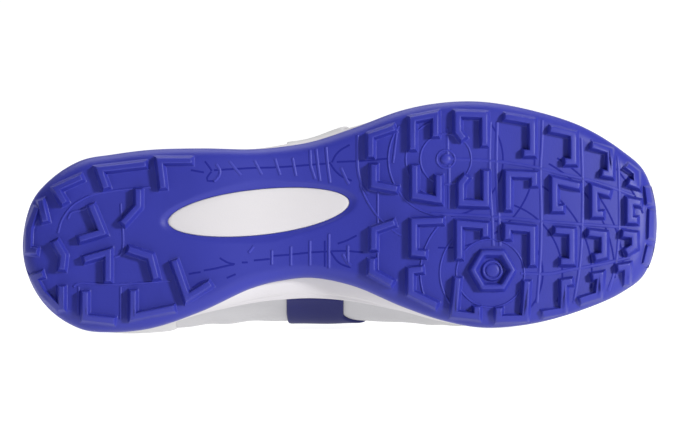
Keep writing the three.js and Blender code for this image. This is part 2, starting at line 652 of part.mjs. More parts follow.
// A solid of the grown last, whose floor lies `drop` under its edge.
function lastSolid(offset, drop) {
  const top = lastLayer(offset);
  const bottom = top.map((row) => {
    const ends = [row[0].clone(), row.at(-1).clone()];
    ends.forEach((end) => end.setZ(end.z - drop));
    return [ends[0], ends[0].clone().lerp(ends[1], 0.5), ends[1]];
  });
  return closedBody(bottom, top);
}

// The layer of the last's form between two offsets.
function layer(inner, outer) {
  return lastSolid(outer, 0).subtract(lastSolid(inner, HEEL_STACK));
}

// Openings and panels of the upper.

function collarCut() {
  const shape = new THREE.Shape();
  const points = TOPLINE.map((row) => new THREE.Vector2(alongFoot(row.at), upCollar(row.up)));
  shape.moveTo(points[0].x, points[0].y);
  shape.splineThru(points.slice(1));
  shape.lineTo(points.at(-1).x + alongFoot(0.02), ABOVE_SHOE);
  shape.lineTo(points[0].x, ABOVE_SHOE);
  return sidePrism(new THREE.Shape(shape.getPoints(2)));
}

// A tongue-shaped outline in plan along the throat: straight sides and a round front end.
function throatShape(backWidth, frontWidth, grow, backAt = THROAT.from, frontAt = THROAT.to) {
  const back = new THREE.Vector2(alongFoot(backAt), THROAT.fromAcross * BALL_WIDTH);
  const front = new THREE.Vector2(alongFoot(frontAt), THROAT.toAcross * BALL_WIDTH);
  const radius = frontWidth / 2 + grow;
  const half = backWidth / 2 + grow;
  const centre = front.clone().setX(front.x - frontWidth / 2);
  const shape = new THREE.Shape();
  shape.moveTo(back.x, back.y - half);
  shape.lineTo(centre.x, centre.y - radius);
  shape.absarc(centre.x, centre.y, radius, -Math.PI / 2, Math.PI / 2, false);
  shape.lineTo(back.x, back.y + half);
  return shape;
}

const throatCut = (grow = 0) => planPrism(
  throatShape(THROAT_TOP_WIDTH, THROAT_END_WIDTH, grow),
  FOREFOOT_STACK + COLLAR_HEIGHT / 4,
  ABOVE_SHOE,
);

const opening = collarCut().add(throatCut());

function upperSolid() {
  return lastSolid(0, 0).subtract(lastSolid(-UPPER_WALL, HEEL_STACK)).subtract(opening);
}

function overlay(panel) {
  return layer(GAP, GAP + OVERLAY_THICKNESS).intersect(panel).subtract(opening);
}

const eyestayPanel = (grow) => throatCut(EYESTAY_WIDTH + grow);

function toeCapPanel() {
  const shape = new THREE.Shape();
  const wing = alongFoot(TOE_CAP.wingAt);
  const reach = TOE_CAP.reach * BALL_WIDTH;
  shape.moveTo(wing, -reach);
  shape.lineTo(alongFoot(1.1), -reach);
  shape.lineTo(alongFoot(1.1), reach);
  shape.lineTo(wing, reach);
  shape.quadraticCurveTo(2 * alongFoot(TOE_CAP.crestAt) - wing, 0, wing, -reach);
  return planPrism(shape, 0, ABOVE_SHOE);
}

function counterPanel() {
  const shape = new THREE.Shape();
  const { at, backUp, frontUp } = HEEL_COUNTER;
  shape.moveTo(alongFoot(-0.1), 0);
  shape.lineTo(alongFoot(at + 0.03), 0);
  shape.lineTo(alongFoot(at), upCollar(frontUp));
  shape.quadraticCurveTo(
    alongFoot(at * 0.45), upCollar(frontUp * 1.3),
    alongFoot(at * 0.1), upCollar(backUp),
  );
  shape.lineTo(alongFoot(-0.1), upCollar(backUp * 1.05));
  return sidePrism(shape);
}

function sideBandPanel() {
  const shape = new THREE.Shape();
  const { backAt, frontAt, topBackAt, topFrontAt, up } = SIDE_BAND;
  shape.moveTo(alongFoot(backAt), 0);
  shape.lineTo(alongFoot(frontAt), 0);
  shape.lineTo(alongFoot(frontAt), upCollar(0.06));
  shape.lineTo(alongFoot(topFrontAt), upCollar(up));
  shape.lineTo(alongFoot(topBackAt), upCollar(up));
  shape.lineTo(alongFoot(backAt), upCollar(0.06));
  return sidePrism(shape);
}

// The half of space on one side of the foot's middle.
function halfSpace(side) {
  const reach = 2 * SOLE_LENGTH;
  const box = new THREE.BoxGeometry(reach, reach, reach);
  return toSolid(box.translate(alongFoot(0.5), (side === 'medial' ? 1 : -1) * reach / 2, 0));
}

const sideBand = (side) => overlay(sideBandPanel().intersect(halfSpace(side)).subtract(eyestayPanel(GAP)));

// The strip under the throat that the tongue fills. Its end above the collar is cut square and round.
function tonguePanel(grow) {
  const strip = planPrism(
    throatShape(TONGUE.topWidth, TONGUE.endWidth, grow, TONGUE.from, TONGUE.to),
    FOREFOOT_STACK + COLLAR_HEIGHT / 3.5,
    ABOVE_SHOE,
  );
  const end = new THREE.Shape();
  const middle = THROAT.fromAcross * BALL_WIDTH;
  const corner = TONGUE.topWidth / 2 + grow;
  end.moveTo(middle + corner, -ABOVE_SHOE);
  end.lineTo(middle + corner, 0);
  end.bezierCurveTo(middle + corner, corner, middle - corner, corner, middle - corner, 0);
  end.lineTo(middle - corner, -ABOVE_SHOE);
  const tip = new THREE.ExtrudeGeometry(end, {
    depth: 2 * ABOVE_SHOE,
    bevelEnabled: false,
    curveSegments: 2 * PEN_STEPS,
  });
  tip.translate(0, 0, -ABOVE_SHOE).rotateZ(Math.PI / 2).rotateY(TONGUE.lean);
  tip.translate(alongFoot(TONGUE.tipAt), 0, upCollar(TONGUE.tipUp) + grow);
  return strip.intersect(toSolid(tip));
}

// The tongue: a padded strip under the throat that swells up into it and stands above the collar.
function tongueSolid() {
  const under = UPPER_WALL + GAP;
  const strip = layer(-under - TONGUE_THICKNESS, -under).intersect(tonguePanel(0));
  const swell = layer(-under - TONGUE_THICKNESS / 2, TONGUE_CROWN)
    .intersect(throatCut(-1))
    .intersect(tonguePanel(0));
  return strip.add(swell);
}

// The padded lining just inside the collar, clear of the tongue.
function paddingSolid() {
  const under = UPPER_WALL + GAP;
  const lowered = sidePrism(new THREE.Shape([
    new THREE.Vector2(alongFoot(-0.1), upCollar(0.8) - PADDING_DEPTH),
    new THREE.Vector2(alongFoot(0.06), upCollar(0.76) - PADDING_DEPTH),
    new THREE.Vector2(alongFoot(0.2), upCollar(0.56) - PADDING_DEPTH),
    new THREE.Vector2(alongFoot(0.35), upCollar(0.62) - PADDING_DEPTH),
    new THREE.Vector2(alongFoot(0.35), ABOVE_SHOE),
    new THREE.Vector2(alongFoot(-0.1), ABOVE_SHOE),
  ]));
  return layer(-under - PADDING_THICKNESS, -under)
    .intersect(lowered)
    .subtract(opening)
    .subtract(tonguePanel(1));
}

// The lace: crossings between pairs of eyelets, and a straight bar at the front pair.
function laceSolid() {
  const back = alongFoot(THROAT.shoulder);
  const front = alongFoot(THROAT.to) - THROAT_END_WIDTH / 2;
  const eyelet = (k, side) => {
    const share = k / (EYELET_PAIRS - 1);
    const x = THREE.MathUtils.lerp(back, front, share);
    const along = (x / SOLE_LENGTH - THROAT.from) / (THROAT.to - THROAT.from);
    const middle = THREE.MathUtils.lerp(THROAT.fromAcross, THROAT.toAcross, along) * BALL_WIDTH;
    const half = THREE.MathUtils.lerp(THROAT_TOP_WIDTH, THROAT_END_WIDTH, along) / 2 + EYELET_INSET;
    return new THREE.Vector2(x, middle + side * half);
  };
  const runs = [[eyelet(EYELET_PAIRS - 1, -1), eyelet(EYELET_PAIRS - 1, 1)]];
  for (let k = 1; k < EYELET_PAIRS; k += 1) {
    for (const side of [-1, 1]) runs.push([eyelet(k, side), eyelet(k - 1, -side)]);
  }
  const strips = runs.map((run) => planPrism(
    new THREE.Shape(strokeOutline(run, LACE_WIDTH)),
    FOREFOOT_STACK,
    ABOVE_SHOE,
  ));
  const inner = GAP + OVERLAY_THICKNESS + GAP;
  return layer(inner, inner + LACE_THICKNESS).intersect(wasm.Manifold.union(strips));
}

// Materials and the named pieces.

const material = (color, roughness) => new THREE.MeshStandardMaterial({ color, roughness, metalness: 0 });
const BLUE_RUBBER = material('#3a3aa6', 0.55);
const WHITE_FOAM = material('#e6e4e4', 0.7);
const WHITE_LEATHER = material('#e4e4e2', 0.5);
const BLUE_LEATHER = material('#2c2f7a', 0.45);
const WHITE_CLOTH = material('#dcdcda', 0.85);
const BLUE_CLOTH = material('#2a2c66', 0.9);
const LACE_CLOTH = material('#efefec', 0.85);

const PIECES = [
  { name: 'outsole', solid: outsoleSolid(), finish: BLUE_RUBBER, density: RUBBER_DENSITY },
  { name: 'midsole', solid: midsoleSolid(), finish: WHITE_FOAM, density: FOAM_DENSITY },
  { name: 'insole', solid: insoleSolid(), finish: BLUE_CLOTH, density: FOAM_DENSITY },
  { name: 'upper', solid: upperSolid(), finish: WHITE_LEATHER, density: CLOTH_DENSITY },
  { name: 'eyestay', solid: overlay(eyestayPanel(0)), finish: WHITE_LEATHER, density: CLOTH_DENSITY },
  { name: 'toe_cap', solid: overlay(toeCapPanel()), finish: WHITE_LEATHER, density: CLOTH_DENSITY },
  { name: 'heel_counter', solid: overlay(counterPanel()), finish: WHITE_LEATHER, density: CLOTH_DENSITY },
  { name: 'side_band_medial', solid: sideBand('medial'), finish: BLUE_LEATHER, density: CLOTH_DENSITY },
  { name: 'side_band_lateral', solid: sideBand('lateral'), finish: WHITE_LEATHER, density: CLOTH_DENSITY },
  { name: 'collar_padding', solid: paddingSolid(), finish: BLUE_CLOTH, density: FOAM_DENSITY },
  { name: 'tongue', solid: tongueSolid(), finish: WHITE_CLOTH, density: FOAM_DENSITY },
  { name: 'laces', solid: laceSolid(), finish: LACE_CLOTH, density: CLOTH_DENSITY },
];

// Laying the shoe down: it rests on the flat face of its convex outline that lies under its weight.

function centreOfMass(pieces) {
  const sum = new THREE.Vector3();
  let mass = 0;
  for (const { solid, density } of pieces) {
    const geometry = toGeometry(solid).toNonIndexed();
    const position = geometry.attributes.position;
    const [a, b, c] = [new THREE.Vector3(), new THREE.Vector3(), new THREE.Vector3()];
    for (let i = 0; i < position.count; i += 3) {
      [a, b, c].forEach((corner, k) => corner.fromBufferAttribute(position, i + k));
      const weight = density * a.dot(b.clone().cross(c)) / 6;
      sum.addScaledVector(a.clone().add(b).add(c), weight / 4);
      mass += weight;
    }
  }
  return sum.divideScalar(mass);
}

function restingFace(points, centre) {
  const hull = new ConvexHull().setFromPoints(points);
  const isMedial = (face) => face.normal.y > 0.9;
  const holds = (face) => {
    const foot = centre.clone().addScaledVector(face.normal, -face.distanceToPoint(centre));
    let edge = face.edge;
    do {
      const start = edge.tail().point;
      const along = edge.head().point.clone().sub(start);
      if (along.cross(foot.clone().sub(start)).dot(face.normal) < 0) return false;
      edge = edge.next;
    } while (edge !== face.edge);
    return true;
  };
  return hull.faces.filter(isMedial).find(holds);
}

const shoe = new THREE.Group();
for (const { name, solid, finish } of PIECES) {
  const mesh = new THREE.Mesh(toGeometry(solid), finish);
  mesh.name = name;
  shoe.add(mesh);
}

const corners = shoe.children.flatMap((mesh) => {
  const position = mesh.geometry.attributes.position;
  return Array.from(
    { length: position.count },
    (_, i) => new THREE.Vector3().fromBufferAttribute(position, i),
  );
});
const floorNormal = restingFace(corners, centreOfMass(PIECES)).normal;
const standing = new THREE.Matrix4();
const forward = new THREE.Vector3(1, 0, 0).projectOnPlane(floorNormal).normalize();
const upward = floorNormal.clone().negate();
standing.makeBasis(forward, upward.clone().cross(forward), upward).transpose();
shoe.quaternion.setFromRotationMatrix(standing);
shoe.updateMatrixWorld(true);

const box = new THREE.Box3().setFromObject(shoe, true);
const middle = box.getCenter(new THREE.Vector3());
shoe.position.set(-middle.x, -middle.y, -box.min.z);

const group = new THREE.Group();
group.add(shoe);

export default group;
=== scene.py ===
import math

import bmesh
import bpy
import numpy as np
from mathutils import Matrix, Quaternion, Vector


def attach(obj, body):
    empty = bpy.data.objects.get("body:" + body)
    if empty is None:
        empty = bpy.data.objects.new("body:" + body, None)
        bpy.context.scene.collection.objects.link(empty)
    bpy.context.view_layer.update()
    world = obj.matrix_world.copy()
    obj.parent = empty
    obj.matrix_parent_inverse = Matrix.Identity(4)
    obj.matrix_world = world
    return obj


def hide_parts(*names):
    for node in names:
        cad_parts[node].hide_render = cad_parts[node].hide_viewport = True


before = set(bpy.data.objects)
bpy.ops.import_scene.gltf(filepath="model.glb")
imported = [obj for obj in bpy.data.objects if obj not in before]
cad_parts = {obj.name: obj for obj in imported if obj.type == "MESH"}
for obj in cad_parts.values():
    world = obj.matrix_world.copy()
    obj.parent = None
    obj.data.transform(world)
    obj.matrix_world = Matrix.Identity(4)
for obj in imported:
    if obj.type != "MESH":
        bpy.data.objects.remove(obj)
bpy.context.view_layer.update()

# Sizes in millimetres, as in the part's source: x heel to toe, y lateral to medial, z up from the ground.
LENGTH, BALL = 292.0, 104.0
LUG_H, RUBBER, RIM_WALL, EDGE_ROUND, TOE_ROUND = 4.0, 2.5, 2.5, 6.0, 9.0
TOE_SPRING, HEEL_BEVEL, ARCH_RISE, HEEL_STACK, FORE_STACK = 13.0, 4.0, 3.5, 29.0, 19.0
COLLAR, WALL, OVERLAY, GAP, LEDGE = 86.0, 2.4, 1.2, 0.3, 1.5
TONGUE_T, PADDING_T, PADDING_DEPTH = 5.5, 5.0, 26.0
THROAT_TOP_W, THROAT_END_W, EYESTAY_W, EYELET_IN, EYELETS = 32.0, 22.0, 15.0, 7.0, 5
INSOLE_T, INSOLE_CUP = 4.0, 2.5

KEYS = "at soleL soleM topL topM bulgeL bulgeM bulgeUp shoulderL shoulderM shoulderUp ridgeUp".split()


def table(text):
    """Rows of numbers, one row a line."""
    return [[float(v) for v in row.split()] for row in text.strip().splitlines()]


SECTIONS = dict(zip(KEYS, np.array(table("""
0.014 0.12 0.239 0.106 0.221 0.101 0.216 0.19 0.058 0.173 0.58 1
0.046 0.226 0.363 0.207 0.341 0.202 0.332 0.19 0.135 0.25 0.58 1
0.093 0.305 0.442 0.279 0.413 0.279 0.404 0.195 0.192 0.303 0.58 1
0.14 0.33 0.456 0.303 0.428 0.303 0.423 0.2 0.216 0.327 0.58 1.01
0.203 0.352 0.438 0.327 0.413 0.327 0.418 0.215 0.236 0.337 0.58 1.02
0.282 0.358 0.363 0.351 0.361 0.351 0.399 0.23 0.255 0.332 0.575 1
0.361 0.356 0.259 0.37 0.317 0.375 0.385 0.235 0.269 0.308 0.55 0.94
0.409 0.369 0.2235 0.389 0.303 0.394 0.382 0.235 0.279 0.293 0.525 0.87
0.456 0.392 0.212 0.413 0.298 0.418 0.382 0.23 0.298 0.284 0.49 0.79
0.519 0.449 0.248 0.462 0.3125 0.471 0.385 0.21 0.332 0.274 0.43 0.69
0.598 0.529 0.343 0.514 0.356 0.519 0.394 0.17 0.38 0.274 0.365 0.585
0.661 0.562 0.403 0.538 0.399 0.538 0.409 0.14 0.413 0.288 0.325 0.515
0.724 0.566 0.434 0.543 0.413 0.538 0.413 0.125 0.428 0.298 0.3 0.46
0.803 0.529 0.414 0.51 0.394 0.505 0.389 0.115 0.404 0.288 0.275 0.405
0.882 0.46 0.35 0.4375 0.332 0.433 0.327 0.105 0.346 0.245 0.25 0.36
0.945 0.358 0.268 0.337 0.25 0.332 0.245 0.1 0.269 0.1875 0.23 0.32
0.981 0.265 0.181 0.245 0.168 0.24 0.163 0.095 0.197 0.125 0.215 0.3
""")).T))
TIPS = {  # heel at, y and up, toe at, y and up
    "sole": (0, 0.08, 0, 1, -0.035, 0),
    "top": (0.011, 0.078, 0, 0.985, -0.035, 0),
    "bulge": (0.012, 0.075, 0.185, 0.981, -0.035, 0.09),
    "shoulder": (0.026, 0.075, 0.58, 0.95, -0.035, 0.205),
    "ridge": (0.028, 0.06, 1, 0.856, -0.03, 0.285),
}
TOPLINE = [(-0.05, 0.79), (0.03, 0.8), (0.09, 0.7), (0.17, 0.585), (0.235, 0.56), (0.3, 0.61), (0.345, 0.72),
           (0.37, 0.85)]
WINDOW = dict(at=0.3715, across=-0.073, a=41.9, b=10.6, turn=-0.115)
WINDOW_DIP = 1.0  # how far the tread rises into the sole round the window
PIVOT = dict(at=0.738, across=0.186)
THROAT = dict(back=0.24, front=0.623, back_y=0.03, front_y=-0.024, shoulder=0.39)
TONGUE = dict(back=0.27, front=0.66, top=58.0, end=40.0, tip=0.345, tip_up=0.86, lean=0.6)

# Lugs: at, from, to, lean, the lateral arm along and across and its hook, and the same on the medial end.
# Numbers left out at a row's end are 0.
LUGS = [row + [0] * (10 - len(row)) for row in table("""
0.547 -0.407 -0.327 0 0.033 -0.031
0.552 -0.265 -0.19 0 0 0 0 0.032 0.018
0.552 0.009 0.084 0 0.028 -0.027
0.549 0.151 0.195 0 0 0 0 0.028 0.044
0.613 -0.48 -0.358 0 0.036 -0.02 0.084
0.616 -0.261 -0.141 0 0 0 0 0.038 0.018 -0.095
0.615 -0.026 0.111 0 0.041 -0.004 0 0.014 0.004
0.61 0.19 0.288 0 0.014 -0.004 0 0.036 0.049
0.684 -0.504 -0.425 0 0.042 0.004 0.124 0.006 0.022
0.689 -0.195 -0.11 0 0.006 -0.022 0 0.039 0.004 -0.133
0.686 -0.018 0.124 0 0.041 0.009 0.035
0.683 0.235 0.381 -0.005 0 0 0 0.036 0.011 -0.03
0.801 -0.473 -0.332 0 -0.038 -0.018 0 -0.009
0.763 -0.239 -0.093 0 0.041 0.004 0.035
0.801 0.005 0.151 0 -0.039 -0.009 0.04
0.792 0.248 0.398 -0.003 0 0 0 -0.041 0.004 -0.035
0.866 -0.42 -0.296 0 -0.032 -0.018 0 -0.009
0.836 -0.212 -0.088 0 0.035 0.022 0 0.009
0.863 0.013 0.146 0 -0.022 -0.004 0 -0.013
0.85 0.239 0.363 0 0.009 -0.004 0 -0.028 0.013
0.924 -0.35 -0.243 0 -0.024 -0.018 0 -0.008 -0.004
0.899 -0.178 -0.066 0 0.02 0.016 0 0.009
0.914 0.024 0.115 0 -0.02 -0.006 0 -0.01 0.007
0.908 0.205 0.292 -0.003 -0.008 0.004 0 -0.024 0.022
0.966 -0.256 -0.2 0 -0.011 -0.022 0 -0.008 -0.007
0.955 -0.126 -0.042 0 0.013 0.006 0 0.007
0.962 0.024 0.075 0 -0.014 -0.004 0 -0.009 0.016
0.951 0.163 0.23 0 -0.011 0.005
0.985 -0.18 -0.135 0.002
0.991 -0.078 0.02 -0.001
0.987 0.085 0.132 -0.004
0.122 -0.256 -0.186 0.009 0.068 -0.022
0.216 -0.296 -0.186 0.005 0.046
0.054 -0.172 -0.119 0.011 0.036 -0.044
0.03 -0.11 -0.04 0.006
0.01 0 0.097 -0.001 0.011 -0.08 0 0.011 0.004
0.018 0.217 0.288 0.014 0.011 -0.009 0 0.024 0.062
0.111 -0.088 0.022 0.016 0 0 0 -0.032 0.027
0.183 -0.155 -0.093 0 0 0 0 -0.021 0.066
0.136 0.111 0.226 0 -0.033 0.027
0.202 0.128 0.213 0.008 -0.03 -0.027
0.055 0.071 0.124 0.011 0 0 0 -0.002 0.049
0.063 0.274 0.35
0.1 0.297 0.398 0 0 0 0 0.041 0.013
0.175 0.292 0.394 0 0 0 0 0.06 -0.035
0.241 0.159 0.31 0.019 0 0 0 0.032 -0.057
""")]

# Fine tread, in millimetres on the tread's plan.
# Raised rings: centre x, y, radius, from and to in degrees.
PIVOT_ARCS = table("""
194.2 -31.8 4.2 0 360
194.2 -31.8 11.7 0 360
194.2 -31.8 18.3 100 250
194.2 -31.8 26.3 95 265
194.2 -31.8 40.8 120 235
214.6 20.6 15.6 0 360
214.6 20.6 23.1 110 250
214.6 20.6 32.1 130 230
""")
# Fine grooves, drawn as flat dark strips of painted shade; columns as the rings.
GROOVE_SHADE_ARCS = table("""
194.2 -31.8 26.3 -85 85
194.2 -31.8 40.8 -75 95
214.6 20.6 24.1 -85 85
214.6 20.6 33.1 -80 80
214.6 20.6 46.7 -75 60
214.6 20.6 57.3 -62 40
214.6 20.6 61.5 -60 38
214.6 20.6 76 -40 25
""")
# Broad raised bands as runs of x, y.
RAILS = table("""
193 -31.9 207 -31.5 219.8 -30.6 238.2 -27.6 247 -25.4 260 -22.6 270.7 -19.4 281 -15.6
187.3 -6.8 214.8 -5.4 235 -3.6 248 -2.8 262 -2 277.5 -1.2
228.5 20.6 241.8 20.6 251.4 18.6 265.2 16 279 12.6
217.8 -49 217.4 -34 217.6 -20 218.6 -4 219 8
214.6 -49 214.2 -34 214.4 -20 215.4 -4 215.8 8
195 -46 195 -34
195.6 -29 195.6 -9
238.6 -50 238.4 -40 237.6 -26 238 -8 237.6 12 236 34
256.6 -42 257 -30 257 -6 256 14 253 34
273.6 -34 274 -20 274 0 272 18 269 28
""")
# Fine raised lines as runs of x, y.
SPINES = table("""
16.5 2.3 18.3 -3.7 23.4 -10.5 31.6 -14.9 40.8 -16.9 59.1 -18.8
21.1 -4.1 22.4 -6.9 27 -8.2 34.4 -11
23.8 27 25.2 25.8 45.3 25.9 68.2 24.3
45.3 -11.2 45.3 12 38 14.5
45.3 27 45.3 41.7
26.1 27 26.1 40
163 -25 163 20
172 -46 170 -30
""")
# Soft raised bars across the waist as runs of x, y.
BARS = table("""
88.9 -29.3 90.7 -26.6 90.2 -23.8 87.9 -21.5
95 -30.7 100.3 -24.3
106.5 -31.1 109.9 -24.7
115.9 -32.1 118.2 -24.7
123.9 -32.5 125.5 -24.3
131.9 -36.2 132.4 -28.9 134.2 -22.9
134.7 -36.6 135.6 -28.9 136.5 -22
139.2 -37.6 139.9 -30.2 141.1 -21.1
146.1 -27.9 148.4 -22.9 149.8 -20.2
153.7 -43 153.7 -35.7 153.9 -26.6 156.2 -19.2 158.9 -15.6
103.9 11.2 106.1 8.2
114.5 10.1 114.5 16.5
123.2 8.2 123.2 16.9
131.9 5.5 131.9 16.9
140.6 2.5 140.6 18
149.3 7.8 149.3 15.6
147 12 149 15.4 151.1 17.2
""")
# Dark lines of painted shade along the waist, drawn as grooves where the tread lies in shade below raised
# lines, as runs of x, y.
WAIST_SHADE_LINES = table("""
77.4 -26.6 83.4 -25.6
83.8 -30.7 85.6 -28.4 87 -26.3
86.8 -25.9 85.2 -23.8 84.5 -22 88.4 -21.5
87.9 -26.6 98 -27.3 107.2 -27.9 116.3 -28.2 125.5 -28.9 136.9 -29.8 141.5 -30.2
141.5 -29.8 142.9 -27.5 146.1 -24.3 151.1 -22
142 -30.5 143.8 -33.9 146.1 -36.2 150.2 -38.5
144.3 -30.7 155.3 -31.1 168.1 -32.1
76.5 21.1 82 20.2
83.4 19.5 88.9 18.5 94.3 17.2 97.1 16.7
90.7 13.7 94.3 15.8 97.6 16.5
93.9 22.9 98 21.1
78.3 27.5 81.5 25.2 85.2 23.8
100.8 15.7 103.5 15.6
106.3 14.7 113.6 14
114.5 12.6 123.2 11.9 131.4 11 139.7 10.5 148.4 10.3 156.2 11
141.5 10.5 142.9 12.8 144.7 15.1 146.6 16.5 150.7 17.9
144.7 6.9 148.9 5.5 153.4 3.2
138.8 5.5 138.8 17.5
""")


def unit(v):
    """Vectors of length 1 along the last axis."""
    return v / (np.linalg.norm(v, axis=-1, keepdims=True) + 1e-12)


def on_plan(at, across):
    """A point in plan from shares of the length and of the ball's width."""
    return np.array([at * LENGTH, across * BALL])


def even(n):
    """n shares evenly from 0 to 1."""
    return np.linspace(0, 1, n)


def circle(a):
    """Points on a circle of radius 1 at angles a."""
    return np.column_stack([np.cos(a), np.sin(a)])


def round_of(n):
    return circle(np.arange(n) / n * 2 * math.pi)


def bezier(t, *points):
    n = len(points) - 1
    return sum(math.comb(n, k) * (1 - t) ** (n - k) * t**k * p for k, p in enumerate(points))


def across(lat, med, share):
    """Points between both sides, at shares of the way across."""
    return lat[:, None, :] * (1 - share[None, :, None]) + med[:, None, :] * share[None, :, None]


def taper(n, head=(), tail=()):
    """Shares of full thickness at n places, with thinner ends."""
    return np.concatenate([head, np.ones(n - len(head) - len(tail)), tail])


def catmull(points, t, closed=False):
    """Centripetal Catmull-Rom curve through the points, at shares t."""
    p = np.asarray(points, float)
    n = len(p)
    u = np.asarray(t, float) * (n if closed else n - 1)
    i = np.floor(u).astype(int)
    w = u - i
    if closed:
        i0, i1, i2, i3 = ((i + k) % n for k in (-1, 0, 1, 2))
    else:
        last = i >= n - 1
        i = np.where(last, n - 2, i)
        w = np.where(last, 1.0, w)
        p = np.vstack([2 * p[0] - p[1], p, 2 * p[-1] - p[-2]])
        i0, i1, i2, i3 = (i + k for k in range(4))
    q = [p[k] for k in (i0, i1, i2, i3)]
    d = [np.maximum(np.linalg.norm(q[k + 1] - q[k], axis=-1), 1e-4) ** 0.5 for k in range(3)]
    d0, d1, d2 = (x[..., None] for x in d)
    t1 = ((q[1] - q[0]) / d0 - (q[2] - q[0]) / (d0 + d1) + (q[2] - q[1]) / d1) * d1
    t2 = ((q[2] - q[1]) / d1 - (q[3] - q[1]) / (d1 + d2) + (q[3] - q[2]) / d2) * d1
    w = w[..., None]
    return ((2 * w**3 - 3 * w**2 + 1) * q[1] + (w**3 - 2 * w**2 + w) * t1 + (-2 * w**3 + 3 * w**2) * q[2]
            + (w**3 - w**2) * t2)


def smooth(a, b, x):
    """Share from 0 at a to 1 at b, with soft ends."""
    t = np.clip((np.asarray(x, float) - a) / (b - a), 0, 1)
    return t * t * (3 - 2 * t)


def spring(x):
    return TOE_SPRING * np.clip((x / LENGTH - 0.66) / 0.34, 0, 1) ** 2


def tread_z(x):
    at = x / LENGTH
    return (LUG_H + spring(x) + HEEL_BEVEL * np.clip((0.1 - at) / 0.1, 0, 1) ** 2
            + ARCH_RISE * np.sin(np.pi * np.clip((at - 0.27) / 0.34, 0, 1)) ** 2)


def top_z(x):
    return spring(x) + HEEL_STACK + (FORE_STACK - HEEL_STACK) * smooth(0.22, 0.64, x / LENGTH)


def edge_round(x):
    return EDGE_ROUND + (TOE_ROUND - EDGE_ROUND) * smooth(0.86, 1, x / LENGTH)


def rim_z(x):
    return tread_z(x) + edge_round(x) + RIM_WALL


WINDOW_C = on_plan(WINDOW["at"], WINDOW["across"])
WINDOW_COS, WINDOW_SIN = math.cos(WINDOW["turn"]), math.sin(WINDOW["turn"])


def level_loop(name, height):
    """Closed loop of the last at one level: heel tip, lateral side, toe tip, medial side."""
    a0, y0, u0, a1, y1, u1 = TIPS[name]
    at = a0 + (a1 - a0) * SECTIONS["at"]
    up = SECTIONS.get(name + "Up", 0 * at)
    x = np.r_[a0, at, a1, at[::-1]] * LENGTH
    y = np.r_[y0, -SECTIONS[name + "L"], y1, SECTIONS[name + "M"][::-1]] * BALL
    return np.column_stack([x, y, height(x, np.r_[u0, up, u1, up[::-1]])])


def sides(loop, t):
    """Lateral and medial points of a closed loop at shares t from heel to toe."""
    t = np.asarray(t)
    return catmull(loop, t / 2, True), catmull(loop, (1 - t / 2) % 1, True)


def ring_of(lat, med):
    return np.vstack([lat, med[-2:0:-1]])


def inset(lat, med, d):
    """Both sides moved inwards in plan by d, a number or a function of x."""
    ring = ring_of(lat, med)
    along = np.roll(ring, -1, 0) - np.roll(ring, 1, 0)
    along[:, 2] = 0
    along = unit(along)
    inward = np.stack([-along[:, 1], along[:, 0], 0 * along[:, 0]], -1)
    dist = d(ring[:, 0]) if callable(d) else np.full(len(ring), d)
    out = ring + inward * dist[:, None]
    n = len(lat)
    return out[:n], np.vstack([out[:1], out[n:][::-1], out[n - 1:n]])


def level(pair, height):
    """Both sides at a height, which is a function of x."""
    return tuple(np.column_stack([s[:, :2], height(s[:, 0])]) for s in pair)


SOLE = level_loop("sole", lambda x, u: 0 * x)
TOP = level_loop("top", lambda x, u: top_z(x))
FINE = even(241)
OUT_L, OUT_M = sides(SOLE, even(400))
OUTLINE = np.vstack([OUT_L, OUT_M[::-1]])[:, :2]


def edge_distance(x, y):
    """Distance in plan from the sole's outline, in batches of points to save memory."""
    p = np.stack([np.ravel(x), np.ravel(y)], -1)
    a, b = OUTLINE[:-1], OUTLINE[1:]
    ab = b - a
    length = np.maximum((ab**2).sum(1), 1e-9)
    best = np.full(len(p), 1e9)
    for k in range(0, len(p), 4000):
        q = p[k:k + 4000, None, :]
        t = np.clip(((q - a) * ab).sum(-1) / length, 0, 1)
        best[k:k + 4000] = np.sqrt(((q - a - t[..., None] * ab) ** 2).sum(-1)).min(1)
    return best.reshape(np.shape(x))


def window_share(x, y):
    """Share of the way from the window's centre to its edge, and the distance past the edge."""
    dx, dy = x - WINDOW_C[0], y - WINDOW_C[1]
    u, v = dx * WINDOW_COS + dy * WINDOW_SIN, -dx * WINDOW_SIN + dy * WINDOW_COS
    r = np.sqrt((u / WINDOW["a"]) ** 2 + (v / WINDOW["b"]) ** 2)
    return r, (r - 1) * np.where(r > 0, np.sqrt(u**2 + v**2) / np.maximum(r, 1e-6), 0)


def tray_z(x, y):
    r = edge_round(x)
    short = np.clip(r - edge_distance(x, y), 0, r)
    z = tread_z(x) + r - np.sqrt(np.maximum(r**2 - short**2, 0))
    return z + WINDOW_DIP * (1 - smooth(0.2, 4.4, window_share(x, y)[1]))


def off_tread(xy, h):
    """Points standing h off the tread's surface."""
    x, y, e = xy[..., 0], xy[..., 1], 0.35
    z = tray_z(x, y)
    sx = (tray_z(x + e, y) - tray_z(x - e, y)) / (2 * e)
    sy = (tray_z(x, y + e) - tray_z(x, y - e)) / (2 * e)
    n = unit(np.stack([sx, sy, -np.ones_like(sx)], -1))
    return np.stack([x, y, z], -1) + n * h


def side_bounds(x):
    """The sole's lateral and medial outline at x."""
    return [np.interp(x, side[:, 0], side[:, 1]) for side in (OUT_L, OUT_M)]


def keep_inside(xy, margin):
    """Points drawn in to a margin from the outline where they lie past it."""
    tip = max(margin, 0.3)
    x = np.clip(xy[:, 0], tip, LENGTH - tip)
    low, high = side_bounds(x)
    low, high = low + margin, high - margin
    return x, np.clip(xy[:, 1], np.minimum(low, high), np.maximum(low, high))


